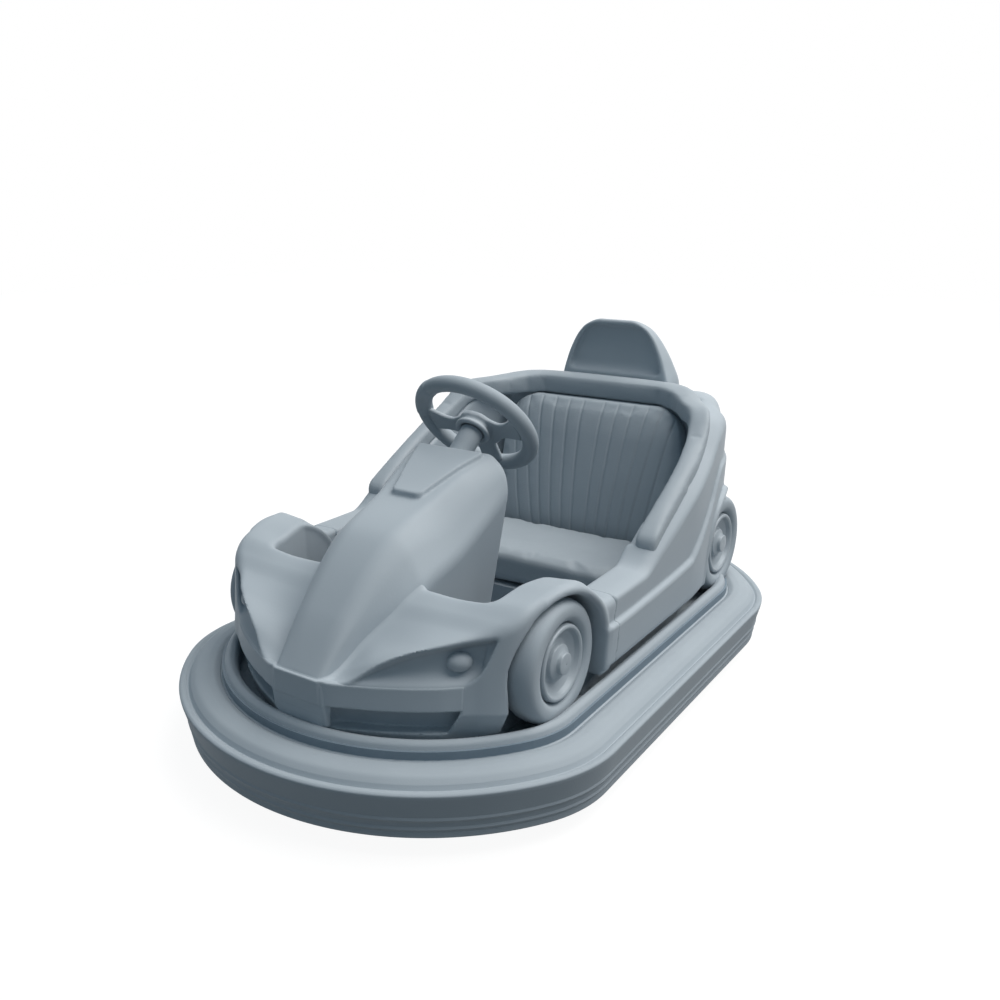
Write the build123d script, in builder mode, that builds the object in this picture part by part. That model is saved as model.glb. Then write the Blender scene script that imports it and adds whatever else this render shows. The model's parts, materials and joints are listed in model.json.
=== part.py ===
from build123d import *
import math
import os

# Bumper car. Units are millimetres. +X is the car's left side, -Y is its front, +Z is up,
# and the origin is on the floor under the middle of the bumper ring.

# Bumper ring, seen from above: straight sides and two ends of three tangent arcs each
ring_half_width = 575
ring_front_start = -429
ring_rear_start = 411
ring_front_depth = 449
ring_rear_depth = 467
ring_front_corner_r = 300
ring_rear_corner_r = 330

# Bumper ring in section
ring_bottom = 50
ring_lip_z = 158
ring_lip_r = 7
ring_wall_lean = 19
ring_bead_top = 178
ring_bead_edge_z = 164
ring_depth = 95
rib_r = 3
rib_heights = (72, 92)

# Chassis ring behind the rubber, deck rim over it, and floor pan
seat_gap = 0.3
steel = 6
chassis_web_top = 186
chassis_flange = 60
rim_bead_width = 26
rim_bead_top = 204
rim_slope = 14
deck_z = 150
deck_ledge = 92
pan_thickness = 4

# Body shell
wall = 8
body_inset = 93
body_top_half = ring_half_width - body_inset
nose_y = -757
nose_half = 62
nose_bottom_z = 200
bar_bottom_z = 251
bar_top_z = 305
console_gap = 0.3
bar_end_half = 323
bar_thickness = 16
bar_bevel = 16
grille_depth = 34
grille_top = 246
recess_depth = 30
bar_plan_z = 278
lamp_z = 351
lamp_r = 23
lamp_share = 0.14
footwell_front = -500
split_y = -215
panel_low_z = 240
core_inset = 175
core_foot_half = ring_half_width - core_inset

# Side wheels
wheel_inset = 140
wheel_x = ring_half_width - wheel_inset
wheel_front_y = -405
wheel_rear_y = 495
wheel_z = 303
tyre_r = 137
tyre_half_width = 37
rim_seat_r = 86
arch_gap = 17
tyre_clear = 8
well_gap = 16
well_inner_x = wheel_x - 2 * tyre_half_width - well_gap
footwell_wall = 23
footwell_outer = well_inner_x - footwell_wall
axle_r = 10
bore_gap = 0.05

# Drive unit under the nose and running wheels under the tail
drive_y = -430
drive_wheel_r = 85
drive_wheel_width = 56
drive_tube_r = 118
tube_wall = 6
rear_wheel_r = 60
rear_wheel_width = 40
rear_wheel_x = 255
rear_wheel_y = 545

# Steering
hub_y = -91
hub_z = 704
steering_tilt = 39
steering_rim_r = 148
steering_tube_r = 19
column_r = 29
shaft_r = 11

# Tie-down holes in the floor pan for a transport skid
tie_spacing_x = 680
tie_spacing_y = 500
tie_y = 60
tie_hole_r = 6.5

# Seat and coaming
cockpit_wall = 12
cockpit_half = core_foot_half - cockpit_wall
cockpit_draw_in = 62
cockpit_rear = 560
seat_side_gap = 8
seat_half = footwell_outer - seat_side_gap
seat_front = 120
seat_rear = 475
seat_base_top = 190
cushion_top = 300
seat_back_top = 660

os.makedirs("parts", exist_ok=True)
made = []


def keep(piece, name):
    """Label a finished piece and write its file."""
    piece.label = name
    export_step(piece, "parts/" + name + ".step")
    made.append(piece)


def polar(centre, radius, angle):
    """A point at an angle in degrees from a centre."""
    return (centre[0] + radius * math.cos(math.radians(angle)),
            centre[1] + radius * math.sin(math.radians(angle)))


def end_arcs(start_y, depth, corner_r, inset, side):
    """Arc ends and middles for one end of the plan, from +X round to -X."""
    reach = ring_half_width - corner_r
    tip_r = (reach ** 2 + depth ** 2 - corner_r ** 2) / (2 * (depth - corner_r))
    corner = (reach, start_y)
    tip = (0, start_y + side * (depth - tip_r))
    lean = side * math.degrees(math.atan2(side * (corner[1] - tip[1]), reach))
    join = polar(corner, corner_r - inset, lean)
    mid = polar(corner, corner_r - inset, lean / 2)
    top = (0, start_y + side * (depth - inset))
    return join, mid, top


def oval(inset):
    """Closed plan outline of the car, moved inwards by inset. It starts at +X, y = 0."""
    half = ring_half_width - inset
    with BuildLine() as outline:
        join_r, mid_r, top_r = end_arcs(ring_rear_start, ring_rear_depth, ring_rear_corner_r, inset, 1)
        join_f, mid_f, top_f = end_arcs(ring_front_start, ring_front_depth, ring_front_corner_r, inset, -1)
        Line((half, 0), (half, ring_rear_start))
        ThreePointArc((half, ring_rear_start), mid_r, join_r)
        ThreePointArc(join_r, top_r, (-join_r[0], join_r[1]))
        ThreePointArc((-join_r[0], join_r[1]), (-mid_r[0], mid_r[1]), (-half, ring_rear_start))
        Line((-half, ring_rear_start), (-half, ring_front_start))
        ThreePointArc((-half, ring_front_start), (-mid_f[0], mid_f[1]), (-join_f[0], join_f[1]))
        ThreePointArc((-join_f[0], join_f[1]), top_f, join_f)
        ThreePointArc(join_f, mid_f, (half, ring_front_start))
        Line((half, ring_front_start), (half, 0))
    return outline.wire()


# Bumper ring: moulded rubber with a lip, a broad bead and two ribs on its wall
with BuildPart() as bumper_ring:
    with BuildLine(mode=Mode.PRIVATE) as ring_path:
        add(oval(0))
    with BuildSketch(Plane.XZ) as ring_section:
        with BuildLine():
            outer = ring_half_width
            inner = outer - ring_depth
            groove = outer - 2 * ring_lip_r
            Line((inner, ring_bottom), (outer - ring_wall_lean, ring_bottom))
            Line((outer - ring_wall_lean, ring_bottom), (outer, ring_lip_z - ring_lip_r))
            ThreePointArc((outer, ring_lip_z - ring_lip_r), (outer - ring_lip_r, ring_lip_z),
                          (groove, ring_lip_z - ring_lip_r))
            ThreePointArc((groove, ring_lip_z - ring_lip_r), ((groove + inner) / 2, ring_bead_top),
                          (inner, ring_bead_edge_z))
            Line((inner, ring_bead_edge_z), (inner, ring_bottom))
        make_face()
        for height in rib_heights:
            lean = ring_wall_lean * (1 - (height - ring_bottom) / (ring_lip_z - ring_bottom))
            with Locations((outer - lean, height)):
                Circle(rib_r)
    sweep(path=ring_path.wire())
keep(bumper_ring.part, "bumper_ring")

# Chassis ring: steel web and bottom flange that carry the rubber, cut clear of the side wheels
web_out = ring_half_width - ring_depth - 4.6
flange_in = web_out - chassis_flange
pan_z = ring_bottom + 2 * steel
with BuildPart() as wheel_notches:
    for wheel_y in (wheel_front_y, wheel_rear_y):
        with BuildSketch(Plane.YZ.offset(-wheel_x - tyre_clear)):
            with Locations((wheel_y, wheel_z)):
                Circle(tyre_r + tyre_clear)
        extrude(amount=2 * (wheel_x + tyre_clear))
with BuildPart() as chassis_ring:
    with BuildSketch(Plane.XZ):
        with BuildLine():
            Polyline((web_out, pan_z - steel), (web_out, chassis_web_top + 4),
                     (web_out - steel, chassis_web_top + 4), (web_out - steel, pan_z),
                     (flange_in, pan_z), (flange_in, pan_z - steel), close=True)
        make_face()
    sweep(path=oval(0))
    add(wheel_notches.part, mode=Mode.SUBTRACT)
keep(chassis_ring.part, "chassis_ring")

# Deck rim: a raised bead round the car, then a slope down to the ledge under the body
skirt_out = ring_half_width - ring_depth - seat_gap
bead_in = skirt_out - rim_bead_width
ledge_out = bead_in - rim_slope
ledge_in = ledge_out - deck_ledge
rim_t = 4
with BuildPart() as deck_rim:
    with BuildSketch(Plane.XZ):
        with BuildLine():
            Line((skirt_out, ring_bead_edge_z - 4), (skirt_out, rim_bead_top - 14))
            ThreePointArc((skirt_out, rim_bead_top - 14), (skirt_out - rim_bead_width / 2, rim_bead_top),
                          (bead_in, rim_bead_top - 10))
            Polyline((bead_in, rim_bead_top - 10), (ledge_out, deck_z), (ledge_in, deck_z),
                     (ledge_in, deck_z - rim_t), (ledge_out + 1.5, deck_z - rim_t),
                     (bead_in + 2.3, rim_bead_top - 13.2))
            ThreePointArc((bead_in + 2.3, rim_bead_top - 13.2),
                          (skirt_out - rim_bead_width / 2, rim_bead_top - rim_t),
                          (skirt_out - rim_t, rim_bead_top - 14))
            Polyline((skirt_out - rim_t, rim_bead_top - 14), (skirt_out - rim_t, ring_bead_edge_z - 4),
                     (skirt_out, ring_bead_edge_z - 4))
        make_face()
    sweep(path=oval(0))
    add(wheel_notches.part, mode=Mode.SUBTRACT)
keep(deck_rim.part, "deck_rim")

# Floor pan with openings for the drive unit and the rear running wheels
pan_top = pan_z + pan_thickness
slot_margin = 3
slot_half_x = rear_wheel_width / 2 + 9 + seat_gap
slot_half_y = rear_wheel_r + 3 * slot_margin
with BuildPart() as floor_pan:
    with BuildSketch(Plane.XY.offset(pan_z)):
        make_face(oval(ring_half_width - web_out + steel + seat_gap).edges())
        with Locations((0, drive_y)):
            Circle(drive_tube_r - tube_wall - slot_margin, mode=Mode.SUBTRACT)
        with Locations((rear_wheel_x, rear_wheel_y), (-rear_wheel_x, rear_wheel_y)):
            Rectangle(2 * slot_half_x, 2 * slot_half_y, mode=Mode.SUBTRACT)
        with Locations((0, tie_y)):
            with GridLocations(tie_spacing_x, tie_spacing_y, 2, 2):
                Circle(tie_hole_r, mode=Mode.SUBTRACT)
    extrude(amount=pan_thickness)
keep(floor_pan.part, "floor_pan")

# Frame rails on the pan, joined by cross tubes under the seat
rail_x = 128
rail_size = 30
rail_start = -165
rail_end = 640
cross_ys = (150, 500)
with BuildPart() as frame_rails:
    with BuildSketch(Plane.XY.offset(pan_top)):
        for side in (-1, 1):
            with Locations((side * rail_x, (rail_start + rail_end) / 2)):
                Rectangle(rail_size, rail_end - rail_start)
        for cross_y in cross_ys:
            with Locations((0, cross_y)):
                Rectangle(2 * rail_x, rail_size)
    extrude(amount=rail_size)
keep(frame_rails.part, "frame_rails")


def wheel_plane(x, y, z):
    """Sketch plane along a wheel's axle: sketch x runs along +X, sketch y away from the axle."""
    return Plane(origin=(x, y, z), x_dir=(1, 0, 0), z_dir=(0, -1, 0))


# Side wheels: fat smooth tyre, dished rim with a hub cap, and a stub axle on the wheel well
tyre_mid = wheel_x - tyre_half_width
cap_out = 6
rim_face = tyre_half_width
axle_end = 28
axle_flange_r = 34
axle_flange = 10
# Rim section: distance outwards from the tyre's middle, then radius
rim_profile = (
    (-rim_face + 6, rim_seat_r - seat_gap),
    (rim_face - 4, rim_seat_r - seat_gap),
    (rim_face, rim_seat_r - 4),
    (rim_face, rim_seat_r - 12),
    (rim_face - 13, rim_seat_r - 20),
    (14, 46),
    (axle_end, 42),
    (axle_end + 2, 30),
    (rim_face + cap_out, 24),
    (rim_face + cap_out, 0),
    (axle_end + 2, 0),
    (axle_end + 2, axle_r + bore_gap),
    (-26, axle_r + bore_gap),
    (-26, 24),
    (4, 30),
    (8, rim_seat_r - 16),
    (-rim_face + 6, rim_seat_r - 8),
)
for end_name, axle_y in (("front", wheel_front_y), ("rear", wheel_rear_y)):
    for side_name, side in (("left", 1), ("right", -1)):
        tag = end_name + "_" + side_name
        plane = wheel_plane(side * tyre_mid, axle_y, wheel_z)
        axle = Axis((0, axle_y, wheel_z), (1, 0, 0))
        with BuildPart() as tyre:
            with BuildSketch(plane):
                with BuildLine():
                    h = tyre_half_width
                    Line((-h + 6, rim_seat_r), (h - 6, rim_seat_r))
                    ThreePointArc((h - 6, rim_seat_r), (h, (rim_seat_r + tyre_r) / 2 - 4),
                                  (h - 9, tyre_r - 6))
                    ThreePointArc((h - 9, tyre_r - 6), (0, tyre_r), (-h + 9, tyre_r - 6))
                    ThreePointArc((-h + 9, tyre_r - 6), (-h, (rim_seat_r + tyre_r) / 2 - 4),
                                  (-h + 6, rim_seat_r))
                make_face()
            revolve(axis=axle)
        keep(tyre.part, "tyre_" + tag)
        with BuildPart() as rim:
            with BuildSketch(plane):
                with BuildLine():
                    Polyline(*[(side * out, radius) for out, radius in rim_profile], close=True)
                make_face()
            revolve(axis=axle)
        keep(rim.part, "rim_" + tag)
        stub_plane = Plane(origin=(side * (well_inner_x + seat_gap), axle_y, wheel_z), x_dir=(0, side, 0),
                           z_dir=(side, 0, 0))
        with BuildPart() as stub:
            with BuildSketch(stub_plane):
                Circle(axle_flange_r)
            extrude(amount=axle_flange)
            with BuildSketch(stub_plane):
                Circle(axle_r)
            extrude(amount=tyre_mid + axle_end - well_inner_x)
        keep(stub.part, "axle_" + tag)

# Rear running wheels under the tail: solid tyre, hub, and a channel bracket with its pin
runner_axle_r = 8
runner_hub_r = 42
bracket_top = 132
bracket_foot = 50
bracket_steel = 5
bracket_drop = 15
plate_in = rear_wheel_width / 2 + 4
plate_out = plate_in + bracket_steel
for side_name, side in (("left", 1), ("right", -1)):
    plane = wheel_plane(side * rear_wheel_x, rear_wheel_y, rear_wheel_r)
    axle = Axis((0, rear_wheel_y, rear_wheel_r), (1, 0, 0))
    half = rear_wheel_width / 2
    with BuildPart() as runner_tyre:
        with BuildSketch(plane):
            with Locations((0, (rear_wheel_r + runner_hub_r) / 2)):
                RectangleRounded(rear_wheel_width, rear_wheel_r - runner_hub_r, 4)
        revolve(axis=axle)
    keep(runner_tyre.part, "runner_tyre_" + side_name)
    with BuildPart() as runner_hub:
        with BuildSketch(plane):
            with BuildLine():
                Polyline((-half, runner_axle_r + bore_gap), (half, runner_axle_r + bore_gap), (half, 20),
                         (half - 12, 22), (half - 12, 34), (half - 2, 37),
                         (half - 2, runner_hub_r - seat_gap), (-half + 2, runner_hub_r - seat_gap),
                         (-half + 2, 37), (-half + 12, 34), (-half + 12, 22), (-half, 20), close=True)
            make_face()
        revolve(axis=axle)
    keep(runner_hub.part, "runner_hub_" + side_name)
    with BuildPart() as runner_bracket:
        with BuildSketch(Plane.XZ.offset(-rear_wheel_y - slot_half_y + slot_margin)):
            x0 = side * rear_wheel_x
            plate_low = rear_wheel_r - bracket_drop
            foot_top = pan_top + bracket_steel
            with BuildLine():
                Polyline((x0 - plate_out, plate_low), (x0 - plate_out, pan_top), (x0 - bracket_foot, pan_top),
                         (x0 - bracket_foot, foot_top), (x0 - plate_out, foot_top),
                         (x0 - plate_out, bracket_top), (x0 + plate_out, bracket_top),
                         (x0 + plate_out, foot_top), (x0 + bracket_foot, foot_top),
                         (x0 + bracket_foot, pan_top), (x0 + plate_out, pan_top), (x0 + plate_out, plate_low),
                         (x0 + plate_in, plate_low), (x0 + plate_in, bracket_top - bracket_steel),
                         (x0 - plate_in, bracket_top - bracket_steel), (x0 - plate_in, plate_low), close=True)
            make_face()
        extrude(amount=2 * (slot_half_y - slot_margin))
        with BuildSketch(Plane(origin=(side * rear_wheel_x - plate_out, rear_wheel_y, rear_wheel_r),
                               x_dir=(0, 1, 0), z_dir=(1, 0, 0))):
            Circle(runner_axle_r)
        extrude(amount=2 * plate_out)
    keep(runner_bracket.part, "runner_bracket_" + side_name)

# Drive unit: pedestal tube on the pan, turning fork with its motor, and the drive wheel
fork_plate_z = 190
fork_plate_t = 10
tube_flange = 10
tube_shelf = 20
tube_inner = drive_tube_r - tube_wall
with BuildPart() as drive_pedestal:
    with BuildSketch(Plane.XZ.offset(-drive_y)):
        with BuildLine():
            Polyline((tube_inner, pan_top), (drive_tube_r + tube_flange, pan_top),
                     (drive_tube_r + tube_flange, pan_top + steel), (drive_tube_r, pan_top + steel),
                     (drive_tube_r, fork_plate_z), (drive_tube_r - tube_shelf, fork_plate_z),
                     (drive_tube_r - tube_shelf, fork_plate_z - steel), (tube_inner, fork_plate_z - steel),
                     close=True)
        make_face()
    revolve(axis=Axis((0, drive_y, 0), (0, 0, 1)))
keep(drive_pedestal.part, "drive_pedestal")

leg_in = drive_wheel_width / 2 + 6
leg_t = 8
leg_width = 64
leg_drop = 26
fork_low = fork_plate_z + seat_gap
with BuildPart() as drive_fork:
    with BuildSketch(Plane.XY.offset(fork_low)):
        with Locations((0, drive_y)):
            Circle(drive_tube_r - 2)
    extrude(amount=fork_plate_t)
    for side in (-1, 1):
        with BuildSketch(Plane.YZ.offset(side * (leg_in + leg_t / 2))):
            with Locations((drive_y, (drive_wheel_r - leg_drop + fork_low) / 2)):
                Rectangle(leg_width, fork_low - drive_wheel_r + leg_drop)
        extrude(amount=leg_t / 2, both=True)
    with BuildSketch(Plane.YZ.offset(-leg_in)):
        with Locations((drive_y, drive_wheel_r)):
            Circle(axle_r)
    extrude(amount=2 * leg_in)
keep(drive_fork.part, "drive_fork")

motor_width = 140
motor_length = 150
motor_height = 115
with BuildPart() as drive_motor:
    with BuildSketch(Plane.XY.offset(fork_low + fork_plate_t)):
        with Locations((0, drive_y)):
            RectangleRounded(motor_width, motor_length, 20)
    extrude(amount=motor_height)
keep(drive_motor.part, "drive_motor")

drive_axis = Axis((0, drive_y, drive_wheel_r), (1, 0, 0))
drive_plane = wheel_plane(0, drive_y, drive_wheel_r)
drive_hub_r = 56
with BuildPart() as drive_tyre:
    with BuildSketch(drive_plane):
        with Locations((0, (drive_wheel_r + drive_hub_r) / 2)):
            RectangleRounded(drive_wheel_width, drive_wheel_r - drive_hub_r, 6)
    revolve(axis=drive_axis)
keep(drive_tyre.part, "drive_tyre")
with BuildPart() as drive_hub:
    with BuildSketch(drive_plane):
        with BuildLine():
            w = drive_wheel_width / 2
            Polyline((-w, axle_r + bore_gap), (w, axle_r + bore_gap), (w, 26), (w - 16, 30), (w - 16, 46),
                     (w - 3, 50), (w - 3, drive_hub_r - seat_gap), (-w + 3, drive_hub_r - seat_gap),
                     (-w + 3, 50), (-w + 16, 46), (-w + 16, 30), (-w, 26), close=True)
        make_face()
    revolve(axis=drive_axis)
keep(drive_hub.part, "drive_hub")

# Body shell plan under the hood, at deck height and at fender height
plan_bottom = dict(side=body_top_half - 27, front_side=wheel_x - 31, side_y=-540,
                   corner=(wheel_x - 41, -586), join=(wheel_x - 95, -604), mid=(200, -692))
plan_top = dict(side=body_top_half - 16, front_side=wheel_x - 27, side_y=-505,
                corner=(wheel_x - 49, -532), join=(wheel_x - 85, -560), mid=(235, -674))
plan_top_z = 530
nose_back = nose_y + 10


def front_plan(plan, z, rear_y, inset=0):
    """Face of the front body's plan at one height, moved inwards by inset."""
    side = plan["side"] - inset
    front_side = plan["front_side"] - inset
    corner = (plan["corner"][0] - 0.8 * inset, plan["corner"][1] + 0.6 * inset)
    join = (plan["join"][0] - 0.5 * inset, plan["join"][1] + 0.9 * inset)
    mid = (plan["mid"][0] - 0.5 * inset, plan["mid"][1] + 0.9 * inset)
    tip = (nose_half, nose_back + inset)
    with BuildSketch(Plane.XY.offset(z), mode=Mode.PRIVATE) as face:
        with BuildLine():
            Line((-side, rear_y), (side, rear_y))
            for s in (1, -1):
                Line((s * side, rear_y), (s * front_side, plan["side_y"]))
                ThreePointArc((s * front_side, plan["side_y"]), (s * corner[0], corner[1]),
                              (s * join[0], join[1]))
                ThreePointArc((s * join[0], join[1]), (s * mid[0], mid[1]), (s * tip[0], tip[1]))
            Line((-tip[0], tip[1]), (tip[0], tip[1]))
        make_face()
    return face.sketch.face()


def plan_at(z):
    """Plan values of the front body at a height between the deck and the fender tops."""
    share = (z - deck_z) / (plan_top_z - deck_z)
    values = {}
    for key, low in plan_bottom.items():
        high = plan_top[key]
        if isinstance(low, tuple):
            values[key] = tuple(a + share * (b - a) for a, b in zip(low, high))
        else:
            values[key] = low + share * (high - low)
    return values


def band_outside(plan_z, inset, grow, half, z, height):
    """Block between two insets of the nose plan, cut off at half to each side."""
    with BuildPart(mode=Mode.PRIVATE) as block:
        with BuildSketch(Plane.XY.offset(z)):
            add(front_plan(plan_at(plan_z), 0, split_y, -grow))
            add(front_plan(plan_at(plan_z), 0, split_y, inset), mode=Mode.SUBTRACT)
            with Locations((0, nose_y)):
                Rectangle(2 * half, -2 * (nose_y + 570), mode=Mode.INTERSECT)
        extrude(amount=height)
    return block.part


def recess_arc(inset, z):
    """Edge along the nose plan on the left side, from the fender to the nose, at a height."""
    plan = plan_at(z)
    with BuildLine(Plane.XY.offset(z), mode=Mode.PRIVATE) as arc:
        ThreePointArc((plan["join"][0] - 0.5 * inset, plan["join"][1] + 0.9 * inset),
                      (plan["mid"][0] - 0.5 * inset, plan["mid"][1] + 0.9 * inset),
                      (nose_half, nose_back + inset))
    return arc.line.edges()[0]


arch_r = tyre_r + arch_gap


def well(y, radius, inner_x, side):
    """Round wheel well along X from its inner wall outwards."""
    with BuildPart(mode=Mode.PRIVATE) as hollow:
        with BuildSketch(Plane(origin=(side * inner_x, y, wheel_z), x_dir=(0, side, 0), z_dir=(side, 0, 0))):
            Circle(radius)
            with Locations((0, -radius)):
                Rectangle(2 * radius, 2 * radius)
        extrude(amount=300)
    return hollow.part


# Lamp recess seen from the front: half points (x, z), the outer ones set in from the tyre's face
recess_points = (
    (131, 311), (170, 345), (205, 365), (240, 380), (wheel_x - 130, 392), (wheel_x - 65, 402),
    (wheel_x - 90, 330), (wheel_x - 113, 311),
)


def recess_block(side):
    """Cut for one lamp recess."""
    with BuildPart(mode=Mode.PRIVATE) as block:
        with BuildSketch(Plane.XZ.offset(-nose_y)):
            with BuildLine():
                Polyline(*[(side * x, z) for x, z in recess_points], close=True)
            make_face()
        extrude(amount=nose_y + 520)
        with BuildSketch(Plane.XY.offset(deck_z)):
            add(front_plan(plan_at(lamp_z), 0, split_y, recess_depth))
        extrude(amount=plan_top_z - deck_z, mode=Mode.SUBTRACT)
        add(well(wheel_front_y, arch_r + wall, well_inner_x - wall, side), mode=Mode.SUBTRACT)
    return block.part


def across(y, points, bottom, drop):
    """Upright face across the car at y, from half points (x, z), lowered by drop."""
    right = [(x, z - drop) for x, z in points]
    left = [(-x, z) for x, z in reversed(right)]
    last = points[-1][0]
    with BuildSketch(Plane.XZ.offset(-y), mode=Mode.PRIVATE) as face:
        with BuildLine():
            Polyline(*left, *right, (last, bottom), (-last, bottom), close=True)
        make_face()
    return face.sketch.face()


# Hood and fenders: y, then (x, z) of hood edge, fender crest and a line outside the body
fender_out = body_top_half + 13
hood_sections = (
    (-775, (150, 296), (240, 297), (fender_out, 298)),
    (-690, (150, 346), (240, 374), (fender_out, 384)),
    (-600, (200, 384), (wheel_x - 65, 404), (fender_out, 402)),
    (-540, (220, 420), (wheel_x - 45, 432), (fender_out, 428)),
    (-497, (230, 442), (wheel_x - 35, 457), (fender_out, 450)),
    (-410, (240, 450), (wheel_x - 10, 475), (fender_out, 466)),
    (-330, (300, 448), (wheel_x - 5, 470), (fender_out, 462)),
    (-262, (320, 410), (wheel_x - 5, 418), (fender_out, 412)),
    (split_y, (320, 394), (wheel_x - 5, 396), (fender_out, 391)),
)
# Console: y, then half points (x, z) of top flat, top edge, widest line and waist.
# The first four lie on the hood, where the widest line is the foot of the ridge.
dash_y = -172
console_sections = (
    (nose_back, (40, 306), (nose_half, 304), (nose_half + 4, 292), (nose_half + 3, 270)),
    (-657, (50, 414), (75, 399), (86, 345), (85, 320)),
    (-528, (60, 528), (90, 510), (138, 428), (136, 400)),
    (footwell_front, (62, 547), (93, 527), (146, 446), (143, 400)),
    (-376, (75, 590), (106, 562), (150, 480), (142, 400)),
    (-270, (90, 632), (122, 604), (153, 530), (132, 400)),
    (dash_y, (105, 664), (143, 634), (155, 586), (122, 400)),
)
ridge_sink = 14
ridge_count = 4
# Raised pad moulded on the console's top, narrower towards the front
pad_rise = 13
pad_base_z = 450
pad_rear_y = -200
pad_front_y = -374
pad_side_y = -362
pad_rear_half = 94
pad_front_half = 42


def console_face(row, grow, bottom):
    """Console section at its y, grown outwards and run down to bottom."""
    y, flat, edge, wide, waist = row
    points = [(flat[0] + grow / 2, flat[1] + grow), (edge[0] + grow, edge[1] + grow),
              (wide[0] + grow, wide[1] + grow / 2), (waist[0] + grow, waist[1])]
    return across(y, points, bottom, 0)


def under_ridge(sink):
    """Block under the ridge, whose top runs sink below the foot line, from the nose to the footwell."""
    feet = [(row[0], row[3][1] - sink) for row in console_sections[:ridge_count]]
    with BuildPart(mode=Mode.PRIVATE) as block:
        with BuildSketch(Plane.YZ.offset(-ring_half_width)):
            with BuildLine():
                Polyline((nose_back - 1, feet[0][1]), *feet[1:], (footwell_front, 0), (nose_back - 1, 0),
                         close=True)
            make_face()
        extrude(amount=2 * ring_half_width)
    return block.part


def hood_face(row, drop):
    """Hood and fender section at its y, lowered by drop."""
    return across(row[0], row[1:], deck_z - 20, drop)


# Steering axis: its plane faces the driver, sketch y points down along the wheel
lean = math.radians(steering_tilt)
steering_plane = Plane(origin=(0, hub_y, hub_z), x_dir=(1, 0, 0), z_dir=(0, math.cos(lean), math.sin(lean)))

# Space of the raised deck bead round the foot of the body
with BuildPart() as bead_space:
    with BuildSketch(Plane.XY.offset(deck_z - 10)):
        make_face(oval(ring_depth - 20).edges())
        make_face(oval(ring_half_width - ledge_out + 2).edges(), mode=Mode.SUBTRACT)
    extrude(amount=rim_bead_top + 3 - deck_z + 10)

# Console: ridge over the nose, hollow body between the footwells, and a hole for the column
with BuildPart() as cabin_hollow:
    loft(sections=[console_face(row, -wall, pan_top - 1) for row in console_sections[ridge_count - 1:]],
         ruled=True)
    with Locations((0, dash_y - wall / 2, 400)):
        Box(400, wall, 900, mode=Mode.SUBTRACT)
with BuildPart() as console_pad:
    with BuildSketch(Plane.XY.offset(pad_base_z)):
        with BuildLine():
            Line((-pad_rear_half, pad_rear_y), (pad_rear_half, pad_rear_y))
            Line((pad_rear_half, pad_rear_y), (pad_front_half, pad_side_y))
            ThreePointArc((pad_front_half, pad_side_y), (0, pad_front_y), (-pad_front_half, pad_side_y))
            Line((-pad_front_half, pad_side_y), (-pad_rear_half, pad_rear_y))
        make_face()
    extrude(amount=pad_base_z)
    console_rows = console_sections[ridge_count - 1:]
    loft(sections=[console_face(row, pad_rise, pad_base_z) for row in console_rows], ruled=True,
         mode=Mode.INTERSECT)
    loft(sections=[console_face(row, -wall / 2, pad_base_z - 1) for row in console_rows], ruled=True,
         mode=Mode.SUBTRACT)
with BuildPart() as centre_console:
    loft(sections=[console_face(row, 0, pan_top + seat_gap) for row in console_sections], ruled=True)
    add(under_ridge(ridge_sink), mode=Mode.SUBTRACT)
    add(cabin_hollow.part, mode=Mode.SUBTRACT)
    add(console_pad.part)
    with BuildSketch(steering_plane.offset(-60)):
        Circle(column_r)
    extrude(amount=-250, mode=Mode.SUBTRACT)
keep(centre_console.part, "centre_console")

# Front body: nose, hood and fenders round the wheels and over the drive unit
with BuildPart() as nose_hollow:
    loft(sections=[front_plan(plan_bottom, deck_z - 1, split_y, grille_depth + wall),
                   front_plan(plan_top, plan_top_z, split_y, grille_depth + wall)], ruled=True)
    loft(sections=[hood_face(row, 3 * wall) for row in hood_sections], ruled=True, mode=Mode.INTERSECT)
    with Locations((0, (nose_y + footwell_front) / 2, 300)):
        Box(2 * footwell_outer, footwell_front - nose_y, 400, mode=Mode.INTERSECT)
with BuildPart() as ridge_seat:
    loft(sections=[console_face(row, console_gap, pan_top) for row in console_sections[:ridge_count]],
         ruled=True)
    add(under_ridge(ridge_sink + console_gap), mode=Mode.SUBTRACT)
with BuildPart() as front_body:
    loft(sections=[front_plan(plan_bottom, deck_z, split_y), front_plan(plan_top, plan_top_z, split_y)],
         ruled=True)
    loft(sections=[hood_face(row, 0) for row in hood_sections], ruled=True, mode=Mode.INTERSECT)
    add(nose_hollow.part, mode=Mode.SUBTRACT)
    add(ridge_seat.part, mode=Mode.SUBTRACT)
    with Locations((0, (footwell_front + split_y) / 2 + 50, 400)):
        Box(2 * footwell_outer, split_y - footwell_front + 100, 600, mode=Mode.SUBTRACT)
    for side in (1, -1):
        add(well(wheel_front_y, arch_r, well_inner_x, side), mode=Mode.SUBTRACT)
        add(recess_block(side), mode=Mode.SUBTRACT)
        with Locations((side * body_top_half, split_y, (deck_z + panel_low_z) / 2)):
            Box(2 * (body_top_half - core_foot_half), 2 * (split_y - wheel_front_y), panel_low_z - deck_z,
                mode=Mode.SUBTRACT)
    add(band_outside(bar_plan_z, bar_thickness + seat_gap, 60, bar_end_half + seat_gap,
                     bar_bottom_z - seat_gap, bar_top_z - bar_bottom_z + 2 * seat_gap), mode=Mode.SUBTRACT)
    add(band_outside(bar_plan_z, grille_depth, 60, bar_end_half - 6, nose_bottom_z + 8,
                     grille_top - nose_bottom_z - 8), mode=Mode.SUBTRACT)
    with Locations((0, nose_y, nose_bottom_z + 26)):
        Box(2 * nose_half + 34, 2 * (nose_back - nose_y) + 13, 54, mode=Mode.SUBTRACT)
    add(bead_space.part, mode=Mode.SUBTRACT)
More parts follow.
